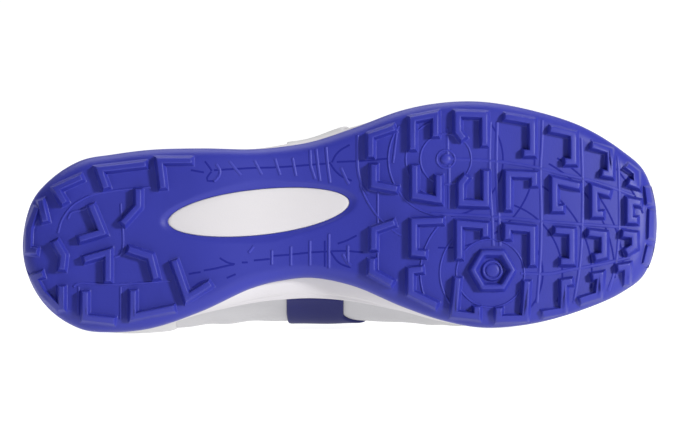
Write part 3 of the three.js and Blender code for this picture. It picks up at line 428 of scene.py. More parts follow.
def lug_points(xy, h, margin):
    """Points at a height of a lug, which stands straight down and less near the edge."""
    x, y = keep_inside(xy, margin)
    share = 0.4 + 0.6 * smooth(0, 1.3 * EDGE_ROUND, edge_distance(x, y))
    return np.column_stack([x, y, tray_z(x, y) - h * share])


# The resting place of the shoe in the row frame.
UP = np.array([-0.03057, -0.990276, -0.13572])
FORWARD = unit(np.array([1.0, 0, 0]) - UP[0] * UP)
TURN = np.array([FORWARD, np.cross(UP, FORWARD), UP])
SHIFT = (-145.805, -53.846, 53.014)


def to_row(points):
    return (np.asarray(points, float) @ TURN.T + SHIFT) * 0.001


def make(name, verts, faces, material, node=None, slot=None, flat_angle=None):
    """One mesh object of the shoe, merged along its borders, with its body and node; slot is not used."""
    mesh = bpy.data.meshes.new(name)
    mesh.from_pydata([tuple(v) for v in to_row(verts)], [], faces)
    bm = bmesh.new()
    bm.from_mesh(mesh)
    bmesh.ops.remove_doubles(bm, verts=bm.verts, dist=2e-6)
    bmesh.ops.recalc_face_normals(bm, faces=bm.faces)
    bm.to_mesh(mesh)
    bm.free()
    mesh.polygons.foreach_set("use_smooth", [True] * len(mesh.polygons))
    obj = bpy.data.objects.new(name, mesh)
    bpy.context.scene.collection.objects.link(obj)
    if flat_angle is not None:
        mesh.set_sharp_from_angle(angle=math.radians(flat_angle))
    mesh.materials.append(material)
    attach(obj, "root")
    if node:
        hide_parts(node)
    return obj


class Builder:
    """Gathers grids of points into one mesh."""

    def __init__(self):
        self.v, self.f, self.n = [], [], 0

    def grid(self, g, close=False, flip=False):
        """Quads over rows of points, and the number of the first point."""
        g = np.asarray(g, float)
        rows, cols = g.shape[:2]
        o = self.n
        self.v.append(g.reshape(-1, 3))
        self.n += rows * cols
        for i in range(rows - 1):
            for j in range(cols if close else cols - 1):
                k = (j + 1) % cols
                q = (o + i * cols + j, o + i * cols + k, o + (i + 1) * cols + k, o + (i + 1) * cols + j)
                self.f.append(q[::-1] if flip else q)
        return o

    def tube(self, rings, start_too=False):
        """Closed rings, capped at the end and at will at the start."""
        n = len(rings[0])
        o = self.grid(rings, close=True)
        if start_too:
            self.f.append(tuple(range(o, o + n)))
        o += (len(rings) - 1) * n
        self.f.append(tuple(range(o, o + n)))

    def make(self, name, material, **kw):
        return make(name, np.vstack(self.v), self.f, material, **kw)


# Materials.
def srgb(*c):
    return tuple(((v / 255 + 0.055) / 1.055) ** 2.4 if v > 10 else v / 255 / 12.92 for v in c) + (1.0,)


def fill(node, values):
    for key, value in values.items():
        node.inputs[key].default_value = value
    return node


def plain(name, color, rough=0.5, bump=0.0, scale=900.0, sheen=0.0, spec=0.5, mottle=0.0, weave=False):
    """A material with a fine bump and a soft mottle of its colour."""
    m = bpy.data.materials.new(name)
    m.use_nodes = True
    nodes, link = m.node_tree.nodes, m.node_tree.links.new
    base = fill(nodes["Principled BSDF"], {
        "Base Color": color, "Roughness": rough, "Specular IOR Level": spec, "Sheen Weight": sheen})
    place = nodes.new("ShaderNodeTexCoord").outputs["Object"]
    if mottle:
        cloud = fill(nodes.new("ShaderNodeTexNoise"), {"Scale": 35.0, "Detail": 4.0})
        link(place, cloud.inputs["Vector"])
        mix = nodes.new("ShaderNodeMix")
        mix.data_type = "RGBA"
        link(cloud.outputs["Fac"], mix.inputs["Factor"])
        tints = [tuple(min(1, c * share) for c in color[:3]) + (1,) for share in (1 - mottle, 1 + mottle)]
        fill(mix, dict(zip("AB", tints)))
        link(mix.outputs["Result"], base.inputs["Base Color"])
    if bump:
        grain = fill(nodes.new("ShaderNodeTexVoronoi" if weave else "ShaderNodeTexNoise"), {"Scale": scale})
        if not weave:
            fill(grain, {"Detail": 3.0})
        link(place, grain.inputs["Vector"])
        height = fill(nodes.new("ShaderNodeBump"), {"Strength": bump, "Distance": 0.0004})
        link(grain.outputs["Distance" if weave else "Fac"], height.inputs["Height"])
        link(height.outputs["Normal"], base.inputs["Normal"])
    return m


RUBBER_M = plain("blue_rubber", srgb(45, 50, 153), 0.46, 0.12, 1400, spec=0.38, mottle=0.07)
# Raised lines in a slightly lighter copy of the rubber's colour: painted highlight.
RIDGE_HIGHLIGHT_M = plain("blue_ridge_painted_highlight", srgb(47, 52, 158), 0.46, 0.12, 1400, spec=0.38, mottle=0.05)
# A darker copy of the rubber's colour for the groove strips: painted shade.
GROOVE_SHADE_M = plain("blue_groove_painted_shade", srgb(33, 37, 132), 0.7, 0.12, 1400, spec=0.1, mottle=0.05)
FOAM_M = plain("white_foam", srgb(209, 206, 209), 0.65, 0.15, 1800, mottle=0.02)
LEATHER_M = plain("white_leather", srgb(186, 185, 188), 0.55, 0.3, 1500, mottle=0.02)
OVER_M = plain("white_overlay", srgb(196, 195, 197), 0.5, 0.25, 1700, mottle=0.02)
BAND_M = plain("blue_band", srgb(27, 29, 92), 0.5, 0.2, 1700, spec=0.2, mottle=0.04)
LINING_M = plain("blue_lining", srgb(44, 46, 100), 0.9, 0.6, 1300, sheen=0.3, weave=True)
CLOTH_M = plain("white_tongue", srgb(196, 195, 197), 0.6, 0.35, 1300, mottle=0.02)
LACE_M = plain("white_lace", srgb(210, 210, 208), 0.85, 0.7, 1600, sheen=0.2, weave=True)
THREAD_M = plain("thread", srgb(205, 205, 207), 0.7, 0.3, 2500, mottle=0.03)
# Near-black discs over the eyelets, holes and rims alike: over the holes this is painted shade.
HOLE_SHADE_M = plain("eyelet_hole_painted_shade", srgb(28, 28, 40), 0.8, 0.2, 1500, mottle=0.05)


# Outsole.
RIM_PROFILE = [(0, -0.8), (0.25, -0.2), (0.9, 0), (1.8, 0), (2.5, -0.6), (2.5, -3)]  # inset, height
LUG_W, LUG_STEP = 4.2, 1.6
LUG_PROFILE = [  # growth in width, height
    (2.4, -0.3), (1.0, 0.05), (0.3, 0.4), (0.0, 0.9), (-1.35, 3.4), (-1.6, 3.8), (-2.1, 4.0), (-2.9, 4.04)]
HEX_PROFILE = [  # radius, height
    (12.2, -0.3), (11.5, 0.05), (11.1, 0.5), (10.3, 3.4), (10.0, 3.8), (9.5, 4.0), (8.5, 4.0), (8.1, 3.8),
    (7.8, 3.4), (6.7, 0.5), (6.4, 0.1)]
DOME_PROFILE = [
    (5.1, 0.0), (4.8, 0.8), (4.4, 1.1), (3.9, 1.1), (3.6, 0.9), (3.5, 0.5), (3.2, 0.5), (2.9, 0.9),
    (2.2, 1.0), (1.2, 1.05), (0.05, 1.1)]
PIN_PROFILE = [(2.6, 0), (2.2, 0.6), (1.2, 0.9), (0.05, 1.0)]
LINE_PROFILE = [(-0.6, -0.12), (-0.42, 0.6), (-0.24, 1.0), (0.24, 1.0), (0.42, 0.6), (0.6, -0.12)]
LINE_STEP, ARC_MARGIN, LINE_MARGIN, FORE_X = 1.3, 6.5, 3.0, 155


def tray_rings(steps=8):
    """Rings of the tray's rounded edge, from the wall down to the floor."""
    lat, med = sides(SOLE, FINE)
    out = []
    for k in range(steps + 1):
        a = k / steps * math.pi / 2
        pair = inset(lat, med, lambda x: edge_round(x) * (1 - math.cos(a)))
        out.append(level(pair, lambda x: tread_z(x) + edge_round(x) * (1 - math.sin(a))))
    return out


def build_outsole():
    b = Builder()
    rings = tray_rings()
    outer = [ring_of(*r) for r in rings[::-1]]
    outer += [ring_of(*level(inset(*rings[0], d), lambda x: rim_z(x) + dz)) for d, dz in RIM_PROFILE]
    b.grid(outer, close=True)
    # The floor, with a ring of cells round the window.
    fl, fm = rings[-1]
    cols, room = 48, WINDOW["a"] + 8
    c0, c1 = 4, cols - 6
    share = even(cols + 1)
    g = across(fl, fm, share)
    r0, r1 = (int(np.argmin(abs(g[:, cols // 2, 0] - WINDOW_C[0] - d))) for d in (-room, room))
    g[..., 2] = tray_z(g[..., 0], g[..., 1])
    g[:, 0, 2], g[:, -1, 2] = tread_z(g[:, 0, 0]), tread_z(g[:, -1, 0])
    for part in (g[:r0 + 1], g[r1:], g[r0:r1 + 1, :c0 + 1], g[r0:r1 + 1, c1:]):
        b.grid(part)
    box = np.vstack([g[r0:r1, c0], g[r1, c0:c1], g[r1:r0:-1, c1], g[r0, c1:c0:-1]])[:, :2]
    onto = WINDOW_C + (box - WINDOW_C) / window_share(box[:, 0], box[:, 1])[0][:, None]
    radial = []
    for s in [*np.linspace(0, 0.35, 9), *np.linspace(0.42, 1, 8)]:
        p = onto * (1 - s) + box * s
        radial.append(np.column_stack([p, tray_z(p[:, 0], p[:, 1])]))
    b.grid([radial[0] + (0, 0, 2.2), radial[0] + (0, 0, 0.25)] + radial, close=True)
    return b


def stroke(path, width):
    """Outline of a bar along a path in plan, which goes half a width past both ends."""
    half, last = width / 2, len(path) - 1
    left, right = [], []
    for i, p in enumerate(path):
        out = path[i + 1] - p if i < last else p - path[i - 1]
        into = p - path[i - 1] if i else out
        into, out = unit(into), unit(out)
        ac = unit(into + out) @ np.array([[0, 1], [-1, 0]])
        reach = half / max(ac @ np.array([-into[1], into[0]]), 0.4)
        c = p + into * (half * (i == last) - half * (i == 0))
        left.append(c + ac * reach)
        right.append(c - ac * reach)
    return np.array(left + right[::-1])


def lug_path(lug):
    """Corners of a lug's centre line: a bar, with an arm and a hook at its ends where the table has them."""
    at, start, stop, lean = lug[:4]
    path = [on_plan(at, start), on_plan(at + lean, stop)]
    for arm, hook in ((lug[7:9], lug[9]), (lug[4:6], lug[6])):
        for step in (arm, (0, hook)):
            if any(step):
                path.append(path[-1] + on_plan(*step))
        path.reverse()
    return path


def split_ring(corners, counts):
    """A ring of points along the sides between corners, with a count for each side."""
    ends = np.roll(corners, -1, 0)
    return np.array([a + (c - a) * j / k for a, c, k in zip(corners, ends, counts) for j in range(k)])


def rings_off(centre, ring, profile):
    """A ring of radius 1 drawn at each radius and height of a profile."""
    return [off_tread(centre + r * ring, h) for r, h in profile]


def build_lugs():
    b = Builder()
    for lug in LUGS:
        path = lug_path(lug)
        margin = -0.6 if lug[0] > 0.98 else 0.7  # the last bars reach the toe's edge
        outlines = [stroke(path, max(LUG_W + grow, 0.9)) for grow, _ in LUG_PROFILE]
        lengths = np.linalg.norm(np.roll(outlines[0], -1, 0) - outlines[0], axis=1)
        counts = [max(1, round(length / LUG_STEP)) for length in lengths]
        b.tube([lug_points(split_ring(o, counts), h, margin) for o, (_, h) in zip(outlines, LUG_PROFILE)])
    # The six-sided pivot with a low ring and a dome inside.
    c = on_plan(PIVOT["at"], PIVOT["across"])
    b.grid(rings_off(c, split_ring(round_of(6), [6] * 6), HEX_PROFILE), close=True)
    b.grid(rings_off(c, round_of(36), DOME_PROFILE), close=True)
    return b


def inside_sole(p, margin):
    low, high = side_bounds(p[:, 0])
    return (edge_distance(p[:, 0], p[:, 1]) > margin) & (p[:, 1] > low) & (p[:, 1] < high)


def ridge(b, path, width, height):
    """A low rounded line along a path on the tread."""
    along = unit(np.gradient(path, axis=0))
    side = np.column_stack([-along[:, 1], along[:, 0]])
    b.grid([off_tread(path + side * u * width, h * height) for u, h in LINE_PROFILE])


def resample(path):
    """A soft curve through points, with even steps."""
    t = even(12 * len(path))
    p = catmull(np.column_stack([path, np.zeros(len(path))]), t)[:, :2] if len(path) > 2 else path
    s = np.r_[0, np.cumsum(np.linalg.norm(np.diff(p, axis=0), axis=1))]
    u = np.linspace(0, s[-1], max(3, int(s[-1] / LINE_STEP)))
    return np.column_stack([np.interp(u, s, p[:, 0]), np.interp(u, s, p[:, 1])])


def runs(mask):
    """First and past-last places of the runs of more than two true values."""
    turns = np.flatnonzero(np.diff(np.r_[0, mask, 0]))
    return [(i, j) for i, j in zip(turns[::2], turns[1::2]) if j - i > 2]


def arc_runs(rows):
    for cx, cy, r, a0, a1 in rows:
        a = np.radians(np.linspace(a0, a1, max(12, int(r * math.radians(a1 - a0) / LINE_STEP))))
        p = (cx, cy) + r * circle(a)
        for i, j in runs(inside_sole(p, ARC_MARGIN) & (p[:, 0] > FORE_X)):
            yield p[i:j]


def line_runs(rows):
    for row in rows:
        p = resample(np.reshape(row, (-1, 2)))
        for i, j in runs(inside_sole(p, LINE_MARGIN)):
            yield p[i:j]


def build_lines(*kinds):
    """Fine lines of the tread: each kind has its runs, width and height."""
    b = Builder()
    for strokes, width, height in kinds:
        for p in strokes:
            ridge(b, p, width, height)
    return b


def build_ridges():
    b = build_lines((arc_runs(PIVOT_ARCS), 0.95, 0.4), (line_runs(RAILS), 1.4, 0.26),
                    (line_runs(SPINES), 1.1, 0.34), (line_runs(BARS), 1.35, 0.34))
    b.grid(rings_off(np.array(PIVOT_ARCS[0][:2]), circle(np.linspace(0, 2 * math.pi, 20)), PIN_PROFILE))
    return b


build_outsole().make("outsole_tray", RUBBER_M, node="outsole", slot="blue_rubber")
build_lugs().make("outsole_lugs", RUBBER_M, node="outsole", slot="blue_rubber", flat_angle=50)
# The raised lines take the lighter copy of the rubber: painted highlight.
build_ridges().make("outsole_ridges", RIDGE_HIGHLIGHT_M, node="outsole", slot="blue_rubber")
# Flat dark strips, barely raised, where the tread has grooves: painted shade.
GROOVE_SHADE_STRIPS = build_lines((arc_runs(GROOVE_SHADE_ARCS), 0.75, 0.07), (line_runs(WAIST_SHADE_LINES), 0.8, 0.08))
GROOVE_SHADE_STRIPS.make("outsole_groove_painted_shade", GROOVE_SHADE_M, node="outsole", slot="blue_rubber")


# Midsole: its side, and the plug that fills the window.
PLUG_PROFILE = [  # share of the window's size, height over the tread
    (1, 3.25), (1, 1.4), (0.99, 1.2), (0.96, 1.1), (0.8, 1.05), (0.5, 1.0), (0.2, 1.0), (0.01, 1.0)]
PLUG_GAP = 0.15


def build_midsole(steps=14):
    b = Builder()
    lat, med = sides(SOLE, FINE)
    tl, tm = sides(TOP, FINE)
    low = inset(lat, med, RUBBER + GAP)
    above = lambda x: rim_z(x) + GAP
    rings = [ring_of(*level(pair, lambda x: above(x) + dz))
             for pair, dz in ((low, -3), (low, 0), (inset(lat, med, 0.5), 0))]
    for k in range(steps + 1):
        u = k / steps
        both = []
        for o, t in ((lat, tl), (med, tm)):
            p = o * (1 - u) + t * u
            z0, z1 = above(t[:, 0]), t[:, 2] - LEDGE / 2
            p[:, 2] = z0 + (z1 - z0) * u
            both.append(p)
        # The side swells a little, with a soft channel near its top.
        bulge = 0.35 * math.sin(math.pi * u) - 0.55 * math.exp(-((u - 0.82) / 0.05) ** 2)
        rings.append(ring_of(*inset(*both, 0.15 - bulge)))
    rings += [ring_of(*level(inset(tl, tm, d), lambda x: top_z(x) + dz))
              for d, dz in ((0.15, -0.4), (0.45, -0.1), (0.9, 0), (3.5, 0))]
    b.grid(rings, close=True)
    rings = []
    for share, lift in PLUG_PROFILE:
        u, v = ((WINDOW[k] - PLUG_GAP) * share * round_of(96)[:, i] for i, k in enumerate("ab"))
        x, y = WINDOW_C[0] + u * WINDOW_COS - v * WINDOW_SIN, WINDOW_C[1] + u * WINDOW_SIN + v * WINDOW_COS
        rings.append(np.column_stack([x, y, tread_z(x) + lift]))
    b.tube(rings)
    return b


build_midsole().make("midsole_side", FOAM_M, node="midsole", slot="white_foam", flat_angle=60)


# The upper's form over the last: rows from heel to toe, columns from the lateral edge over the ridge.
NS, NV = 260, 121
MID = (NV - 1) / 2
ROW = np.arange(NS, dtype=float)


def rise(x, u):
    """Height at a share u of the collar over the midsole."""
    return top_z(x) + GAP + u * COLLAR


def build_last():
    s = even(NS)
    tl, tm = sides(TOP, s)
    tl[:, 2], tm[:, 2] = rise(tl[:, 0], 0), rise(tm[:, 0], 0)
    levels = [inset(tl, tm, LEDGE)] + [sides(level_loop(name, rise), s) for name in ("bulge", "shoulder")]
    a0, y0, u0, a1, y1, u1 = TIPS["ridge"]
    at = np.r_[a0, a0 + (a1 - a0) * SECTIONS["at"], a1]
    pull = 0.05 * smooth(0.25, 0.6, SECTIONS["at"]) * (1 - smooth(0.85, 1, SECTIONS["at"]))
    y = np.r_[y0, (SECTIONS["shoulderM"] - SECTIONS["shoulderL"]) / 2 + pull, y1] * BALL
    up = np.r_[u0, SECTIONS["ridgeUp"], u1]
    crest = catmull(np.column_stack([at * LENGTH, y, rise(at * LENGTH, up)]), s)
    lines = [lv[0] for lv in levels] + [crest] + [lv[1] for lv in levels[::-1]]
    return np.array([catmull(pts, even(NV)) for pts in np.stack(lines, 1)])


LAST = build_last()


def last_normals():
    n = np.cross(np.gradient(LAST, axis=0), np.gradient(LAST, axis=1))
    length = np.linalg.norm(n, axis=-1)
    for i in range(NS):
        bad = length[i] < 1e-7
        if bad.any():
            n[i][bad] = n[min(max(i, 2), NS - 3)][bad]
    n = unit(n)
    for i in (0, -1):
        n[i] = n[i] + n[i][::-1]
    n = unit(n)
    for _ in range(3):
        pad = np.pad(n, ((1, 1), (1, 1), (0, 0)), mode="edge")
        n = unit(pad[:-2, 1:-1] + pad[2:, 1:-1] + pad[1:-1, :-2] + pad[1:-1, 2:] + 2 * n)
    return n


NORMALS = last_normals()


def sample(field, s, v):
    """A field of the last at row and column places, which may be fractions."""
    a, b = np.clip(np.asarray(s, float), 0, NS - 1), np.clip(np.asarray(v, float), 0, NV - 1)
    i, j = np.minimum(a.astype(int), NS - 2), np.minimum(b.astype(int), NV - 2)
    u, w = (a - i)[..., None], (b - j)[..., None]
    return ((field[i, j] * (1 - u) + field[i + 1, j] * u) * (1 - w)
            + (field[i, j + 1] * (1 - u) + field[i + 1, j + 1] * u) * w)


def normal(s, v):
    return unit(sample(NORMALS, s, v))


def surf(s, v, off):
    """Points that stand off the last."""
    return sample(LAST, s, v) + normal(s, v) * np.broadcast_to(np.asarray(off, float), np.shape(s))[..., None]


TOP_CURVE = catmull([(a * LENGTH, HEEL_STACK + u * COLLAR) for a, u in TOPLINE], even(80))


def topline(x):
    """Height of the collar's edge, which climbs steeply in front of its last point."""
    z = np.interp(x, TOP_CURVE[:, 0], TOP_CURVE[:, 1])
    return z + np.clip(x - TOP_CURVE[-1, 0], 0, None) / (0.02 * LENGTH) * COLLAR


def throat_distance(p, w0=THROAT_TOP_W, w1=THROAT_END_W, back=THROAT["back"], front=THROAT["front"]):
    """Distance in plan from the throat's edge, negative inside it."""
    x, y = p[..., 0], p[..., 1]
    bx, fx = back * LENGTH, front * LENGTH
    by, fy = THROAT["back_y"] * BALL, THROAT["front_y"] * BALL
    cx = fx - w1 / 2
    t = np.clip((x - bx) / (cx - bx), 0, 1)
    mid, half = by + (fy - by) * t, w0 / 2 + (w1 / 2 - w0 / 2) * t
    d = np.where(x < cx, np.abs(y - mid) - half, np.hypot(x - cx, y - fy) - w1 / 2)
    return np.where(x < bx, np.maximum(d, bx - x), d)


def near_throat(p, grow):
    return (throat_distance(p) < grow) & (p[..., 2] > FORE_STACK + COLLAR / 4)


def in_opening(p):
    return near_throat(p, 0) | (p[..., 2] > topline(p[..., 0]))


def first_in(test, from_medial):
    """For each row, the column at which a test first holds, coming from one edge, or NaN."""
    ok = test(LAST)
    out = np.full(NS, np.nan)
    place = (lambda m: NV - 1 - m) if from_medial else (lambda m: m)
    for i in range(NS):
        row = ok[i][::-1] if from_medial else ok[i]
        hit = int(np.argmax(row))
        if not row[hit]:
            continue
        low, high = hit - 1.0, float(hit)
        for _ in range(12 if hit else 0):
            m = (low + high) / 2
            if test(sample(LAST, float(i), place(m))[None])[0]:
                high = m
            else:
                low = m
        out[i] = place(high)
    return out


def both_first(test):
    return first_in(test, False), first_in(test, True)


EDGE_L, EDGE_M = both_first(in_opening)
OPEN = ~np.isnan(EDGE_L)
EDGE_L = np.where(OPEN, np.minimum(EDGE_L, MID + 6), MID)
EDGE_M = np.where(OPEN, EDGE_M, MID)

# Creases: x across the vamp, lean towards the medial side, depth, half width.
CREASES = table("""
186 0.22 0.75 4.5
197 0.16 0.95 5.0
208 0.08 0.8 5.5
219 -0.02 0.45 5.0
74 0.3 0.5 6.0
118 -0.3 0.45 7.0
140 0.35 0.4 8.0
""")
VAMP_X = 150


def soft(s, v):
    """Creases and slackness of the outer skin, as an offset in millimetres."""
    p = sample(LAST, s, v)
    share = np.minimum(v, NV - 1 - v) / MID
    out = 0.25 * np.sin(p[..., 0] / 17 + p[..., 1] / 23) * np.sin(p[..., 2] / 19 + p[..., 0] / 41)
    for x0, lean, depth, w in CREASES:
        d = (p[..., 0] - x0 - lean * p[..., 1] - 2.2 * np.sin(p[..., 1] / 11)) / w
        if x0 > VAMP_X:
            fade = smooth(0.12, 0.42, share)
        else:
            fade = smooth(0.1, 0.3, share) * (1 - smooth(0.6, 0.9, share))
        swell = 0.45 * (np.exp(-((d - 1.5) ** 2)) + np.exp(-((d + 1.5) ** 2)))
        out = out + fade * depth * (swell - np.exp(-d**2))
    return out * smooth(0.0, 0.1, share)


# Places across a sheet, close together at its rounded edges, and the thickness there.
EDGED = np.r_[0, 0.004, 0.012, np.linspace(0.03, 0.97, 40), 0.988, 0.996, 1]
ROUNDED, ENDS = (0.35, 0.8, 0.97), (0.35, 0.8, 0.95)
EDGE_LOW = taper(len(EDGED), ROUNDED, ROUNDED[::-1])


def shell(b, s, v, outer, inner):
    """A sheet between two offsets of the last, closed along its four borders."""
    o, i = surf(s, v, outer), surf(s, v, inner)
    b.grid(o)
    b.grid(i, flip=True)
    for a, c in ((o[0], i[0]), (o[-1], i[-1]), (o[:, 0], i[:, 0]), (o[:, -1], i[:, -1])):
        b.grid(np.array([a, c]))


def between(low, high, rows, u=EDGED):
    """Row and column places of a sheet between two edges."""
    return ROW[rows][:, None] + 0 * u, low[rows][:, None] * (1 - u) + high[rows][:, None] * u


def build_upper():
    b = Builder()
    u = np.r_[0, np.linspace(0.004, 0.98, 58), 0.99, 0.996, 1]
    low = taper(len(u), tail=(0.9, 0.7, 0.35))
    for start, edge in ((0.0, EDGE_L), (NV - 1.0, EDGE_M)):
        s, v = between(np.full(NS, start), edge, np.arange(NS), u)
        thick = np.where(OPEN[:, None], low, 1.0)
        off = soft(s, v) * np.where(OPEN[:, None], 1 - smooth(0.9, 1, u), 1)
        shell(b, s, v, WALL * (thick - 1) + off, -WALL)
    return b


def row_at(x, v):
    """Row places at which the last reaches x along a column."""
    line = sample(LAST, ROW, np.full(NS, float(v)))[:, 0]
    return np.interp(x, line, ROW)


STITCH = Builder()
STITCH_PITCH, STITCH_LENGTH, STITCH_W, STITCH_CLEAR = 3.4, 2.3, 0.42, 1.2
# Rings of a stitch: nearest end, share of the way out to it, width, lift.
STITCH_ENDS = [(0, 1, 0.15, -0.1), (0, 0.7, 1, 0.1), (2, 0.7, 1, 0.1), (2, 1, 0.15, -0.1)]
ON_OVERLAY = GAP + OVERLAY + 0.05


def stitch_line(s, v, off=ON_OVERLAY):
    """Stitches along a line of the last, none of them near the ground."""
    p, n = surf(s, v, off), normal(s, v)
    d = np.r_[0, np.cumsum(np.linalg.norm(np.diff(p, axis=0), axis=1))]
    if d[-1] < 8:
        return
    for a in np.arange(STITCH_PITCH, d[-1] - STITCH_PITCH / 2, STITCH_PITCH):
        places = a + np.array([-1, 0, 1]) * STITCH_LENGTH / 2
        q = np.column_stack([np.interp(places, d, p[:, c]) for c in range(3)])
        if q[1] @ UP + SHIFT[2] < STITCH_CLEAR:
            continue
        m = np.array([np.interp(a, d, n[:, c]) for c in range(3)])
        side = np.cross(unit(q[2] - q[0]), m)
        rings = []
        for end, share, r, lift in STITCH_ENDS:
            centre = q[end] * share + q[1] * (1 - share) + m * lift
            rings.append(centre + STITCH_W * r * (round_of(6) @ np.array([side, 0.7 * m])))
        STITCH.grid(rings, close=True)


def overlay_shell(b, s, v, prof, rows=None):
    """An overlay on the skin, with its thickness as a share at each place."""
    base = soft(s, v) + GAP * 0.5
    thick = prof if rows is None else prof * rows[:, None]
    shell(b, s, v, base + OVERLAY * thick, base - 0.1)


CAP = dict(wing=0.735, crest=0.9, reach=0.7, seams=(1.6, 4.4))
COUNTER = dict(at=0.235, back_up=0.52, front_up=0.2, end=0.245)
BAND = dict(back=0.415, front=0.505, back_lean=0.015, front_lean=0.075, flare=0.02, low=0.06, high=0.75,
            middle=0.47)
SIDE_EDGE = 0.4  # columns left free at the midsole's edge


def cap_line(half, shift):
    """Places on one half of the last at the toe cap's rear edge, moved forward by shift."""
    wing, crest, reach = CAP["wing"] * LENGTH, CAP["crest"] * LENGTH, CAP["reach"] * BALL
    t = even(60)
    qy = reach - 2 * reach * t
    qx = bezier(t, wing, 2 * crest - wing, wing) + shift

    def past(s, v):
        p = sample(LAST, s, v)
        return p[:, 0] - np.interp(p[:, 1], qy[::-1], qx[::-1])
    front = np.linspace(half, MID, 200)
    gone = int(np.argmax(past(np.full(200, NS - 1.0), front) < 0))
    cols = np.linspace(half, front[gone], 46)
    start = []
    for c in cols[:-1]:
        f = past(ROW, np.full(NS, float(c)))
        i = max(int(np.argmax(f > 0)), 1)
        start.append(i - 1 + f[i - 1] / (f[i - 1] - f[i]))
    return np.array(start + [NS - 1.0]), cols


def build_toe_cap():
    b = Builder()
    u = np.r_[0, 0.006, 0.02, np.linspace(0.05, 1, 46)][:, None]
    prof = taper(len(u), ROUNDED)[:, None]
    for half in (0, NV - 1):
        start, cols = cap_line(half, 0)
        s = start * (1 - u) + (NS - 1) * u
        overlay_shell(b, s, cols + 0 * s, prof + 0 * s)
        for shift in CAP["seams"]:
            stitch_line(*cap_line(half, shift))
    return b


def counter_z(x):
    """Height of the heel counter's upper edge, a quadratic curve from its front to the heel."""
    at, back_up, front_up = COUNTER["at"], COUNTER["back_up"], COUNTER["front_up"]
    t = even(40)
    qx, qz = bezier(t, at, at * 0.45, at * 0.1), bezier(t, front_up, front_up * 1.3, back_up)
    return np.interp(x, qx[::-1] * LENGTH, HEEL_STACK + qz[::-1] * COLLAR)


def build_counter():
    b = Builder()
    edges = both_first(lambda p: p[..., 2] > counter_z(p[..., 0]))
    rows = np.flatnonzero((LAST[:, 8, 0] < COUNTER["end"] * LENGTH) & ~np.isnan(edges[0]))
    ends = taper(len(rows), tail=ENDS[::-1])
    for start, edge, sign in ((SIDE_EDGE, edges[0], 1), (NV - 1 - SIDE_EDGE, edges[1], -1)):
        s, v = between(np.full(NS, start), edge, rows)
        overlay_shell(b, s, v, EDGE_LOW + 0 * v, ends)
        stitch_line(ROW[rows], edge[rows] - sign * 1.2)
    return b


def build_eyestay(lows):
    b = Builder()
    rows = np.flatnonzero((LAST[:, NV // 2, 0] > COUNTER["end"] * LENGTH) & (lows[1] - lows[0] > 1.5))
    ends = taper(len(rows), ENDS, ENDS[::-1])
    prof = np.where(OPEN[rows][:, None], EDGE_LOW, np.where(EDGED > 0.5, 1.0, EDGE_LOW))
    for low, high, sign in ((lows[0], EDGE_L, 1), (lows[1], EDGE_M, -1)):
        overlay_shell(b, *between(low, high, rows), prof, ends)
        wide = rows[np.abs(high - low)[rows] > 5]
        stitch_line(ROW[wide], low[wide] + sign * 1.3)
        wide = wide[OPEN[wide]]
        stitch_line(ROW[wide], high[wide] - sign * 1.3)
    return b


def build_band(low, medial):
    """A band from the midsole's edge up to the eyestay's lower edge."""
    b = Builder()
    shares = np.r_[0, 0.012, 0.035, np.linspace(0.07, 0.93, 26), 0.965, 0.988, 1]
    start, sign = (NV - 1 - SIDE_EDGE, -1) if medial else (SIDE_EDGE, 1)
    s = np.zeros((len(EDGED), len(shares)))
    v = np.zeros_like(s)

    def column(row, q):
        top = np.interp(row, ROW, np.nan_to_num(low, nan=MID)) - sign
        return start + (top - start) * q
    row = row_at(BAND["middle"] * LENGTH, NV - 10 if medial else 10)
    for i, q in enumerate(EDGED):
        z = (float(sample(LAST, row, column(row, q))[2]) - HEEL_STACK) / COLLAR
        up = np.clip((z - BAND["low"]) / (BAND["high"] - BAND["low"]), 0, 1)
        flare = BAND["flare"] * medial * smooth(0, 0.2, up) * (1 - smooth(0.4, 1, up))
        back, front = BAND["back"] + BAND["back_lean"] * up, BAND["front"] + BAND["front_lean"] * up + flare
        for j, t in enumerate(shares):
            s[i, j] = row_at((back + (front - back) * t) * LENGTH, column(row, q))
            v[i, j] = column(s[i, j], q)
    overlay_shell(b, s, v, np.minimum(EDGE_LOW[:, None], taper(len(shares), ROUNDED, ROUNDED[::-1])))
    return b


def tongue_in(p):
    """Whether points lie inside the tongue's outline, with its rounded tip."""
    x, y, z = (p[..., k] for k in range(3))
    d = throat_distance(p, TONGUE["top"], TONGUE["end"], TONGUE["back"], TONGUE["front"])
    mid, corner = THROAT["back_y"] * BALL, TONGUE["top"] / 2
    t = even(60)
    side, tip = bezier(t, corner, corner, -corner, -corner), bezier(t, 0, corner, corner, 0)
    cap = np.interp(y - mid, side[::-1], tip[::-1])
    along = ((x - TONGUE["tip"] * LENGTH) * -math.cos(TONGUE["lean"])
             + (z - HEEL_STACK - TONGUE["tip_up"] * COLLAR) * math.sin(TONGUE["lean"]))
    return (d < 0) & (z > FORE_STACK + COLLAR / 3.5) & (along < cap)


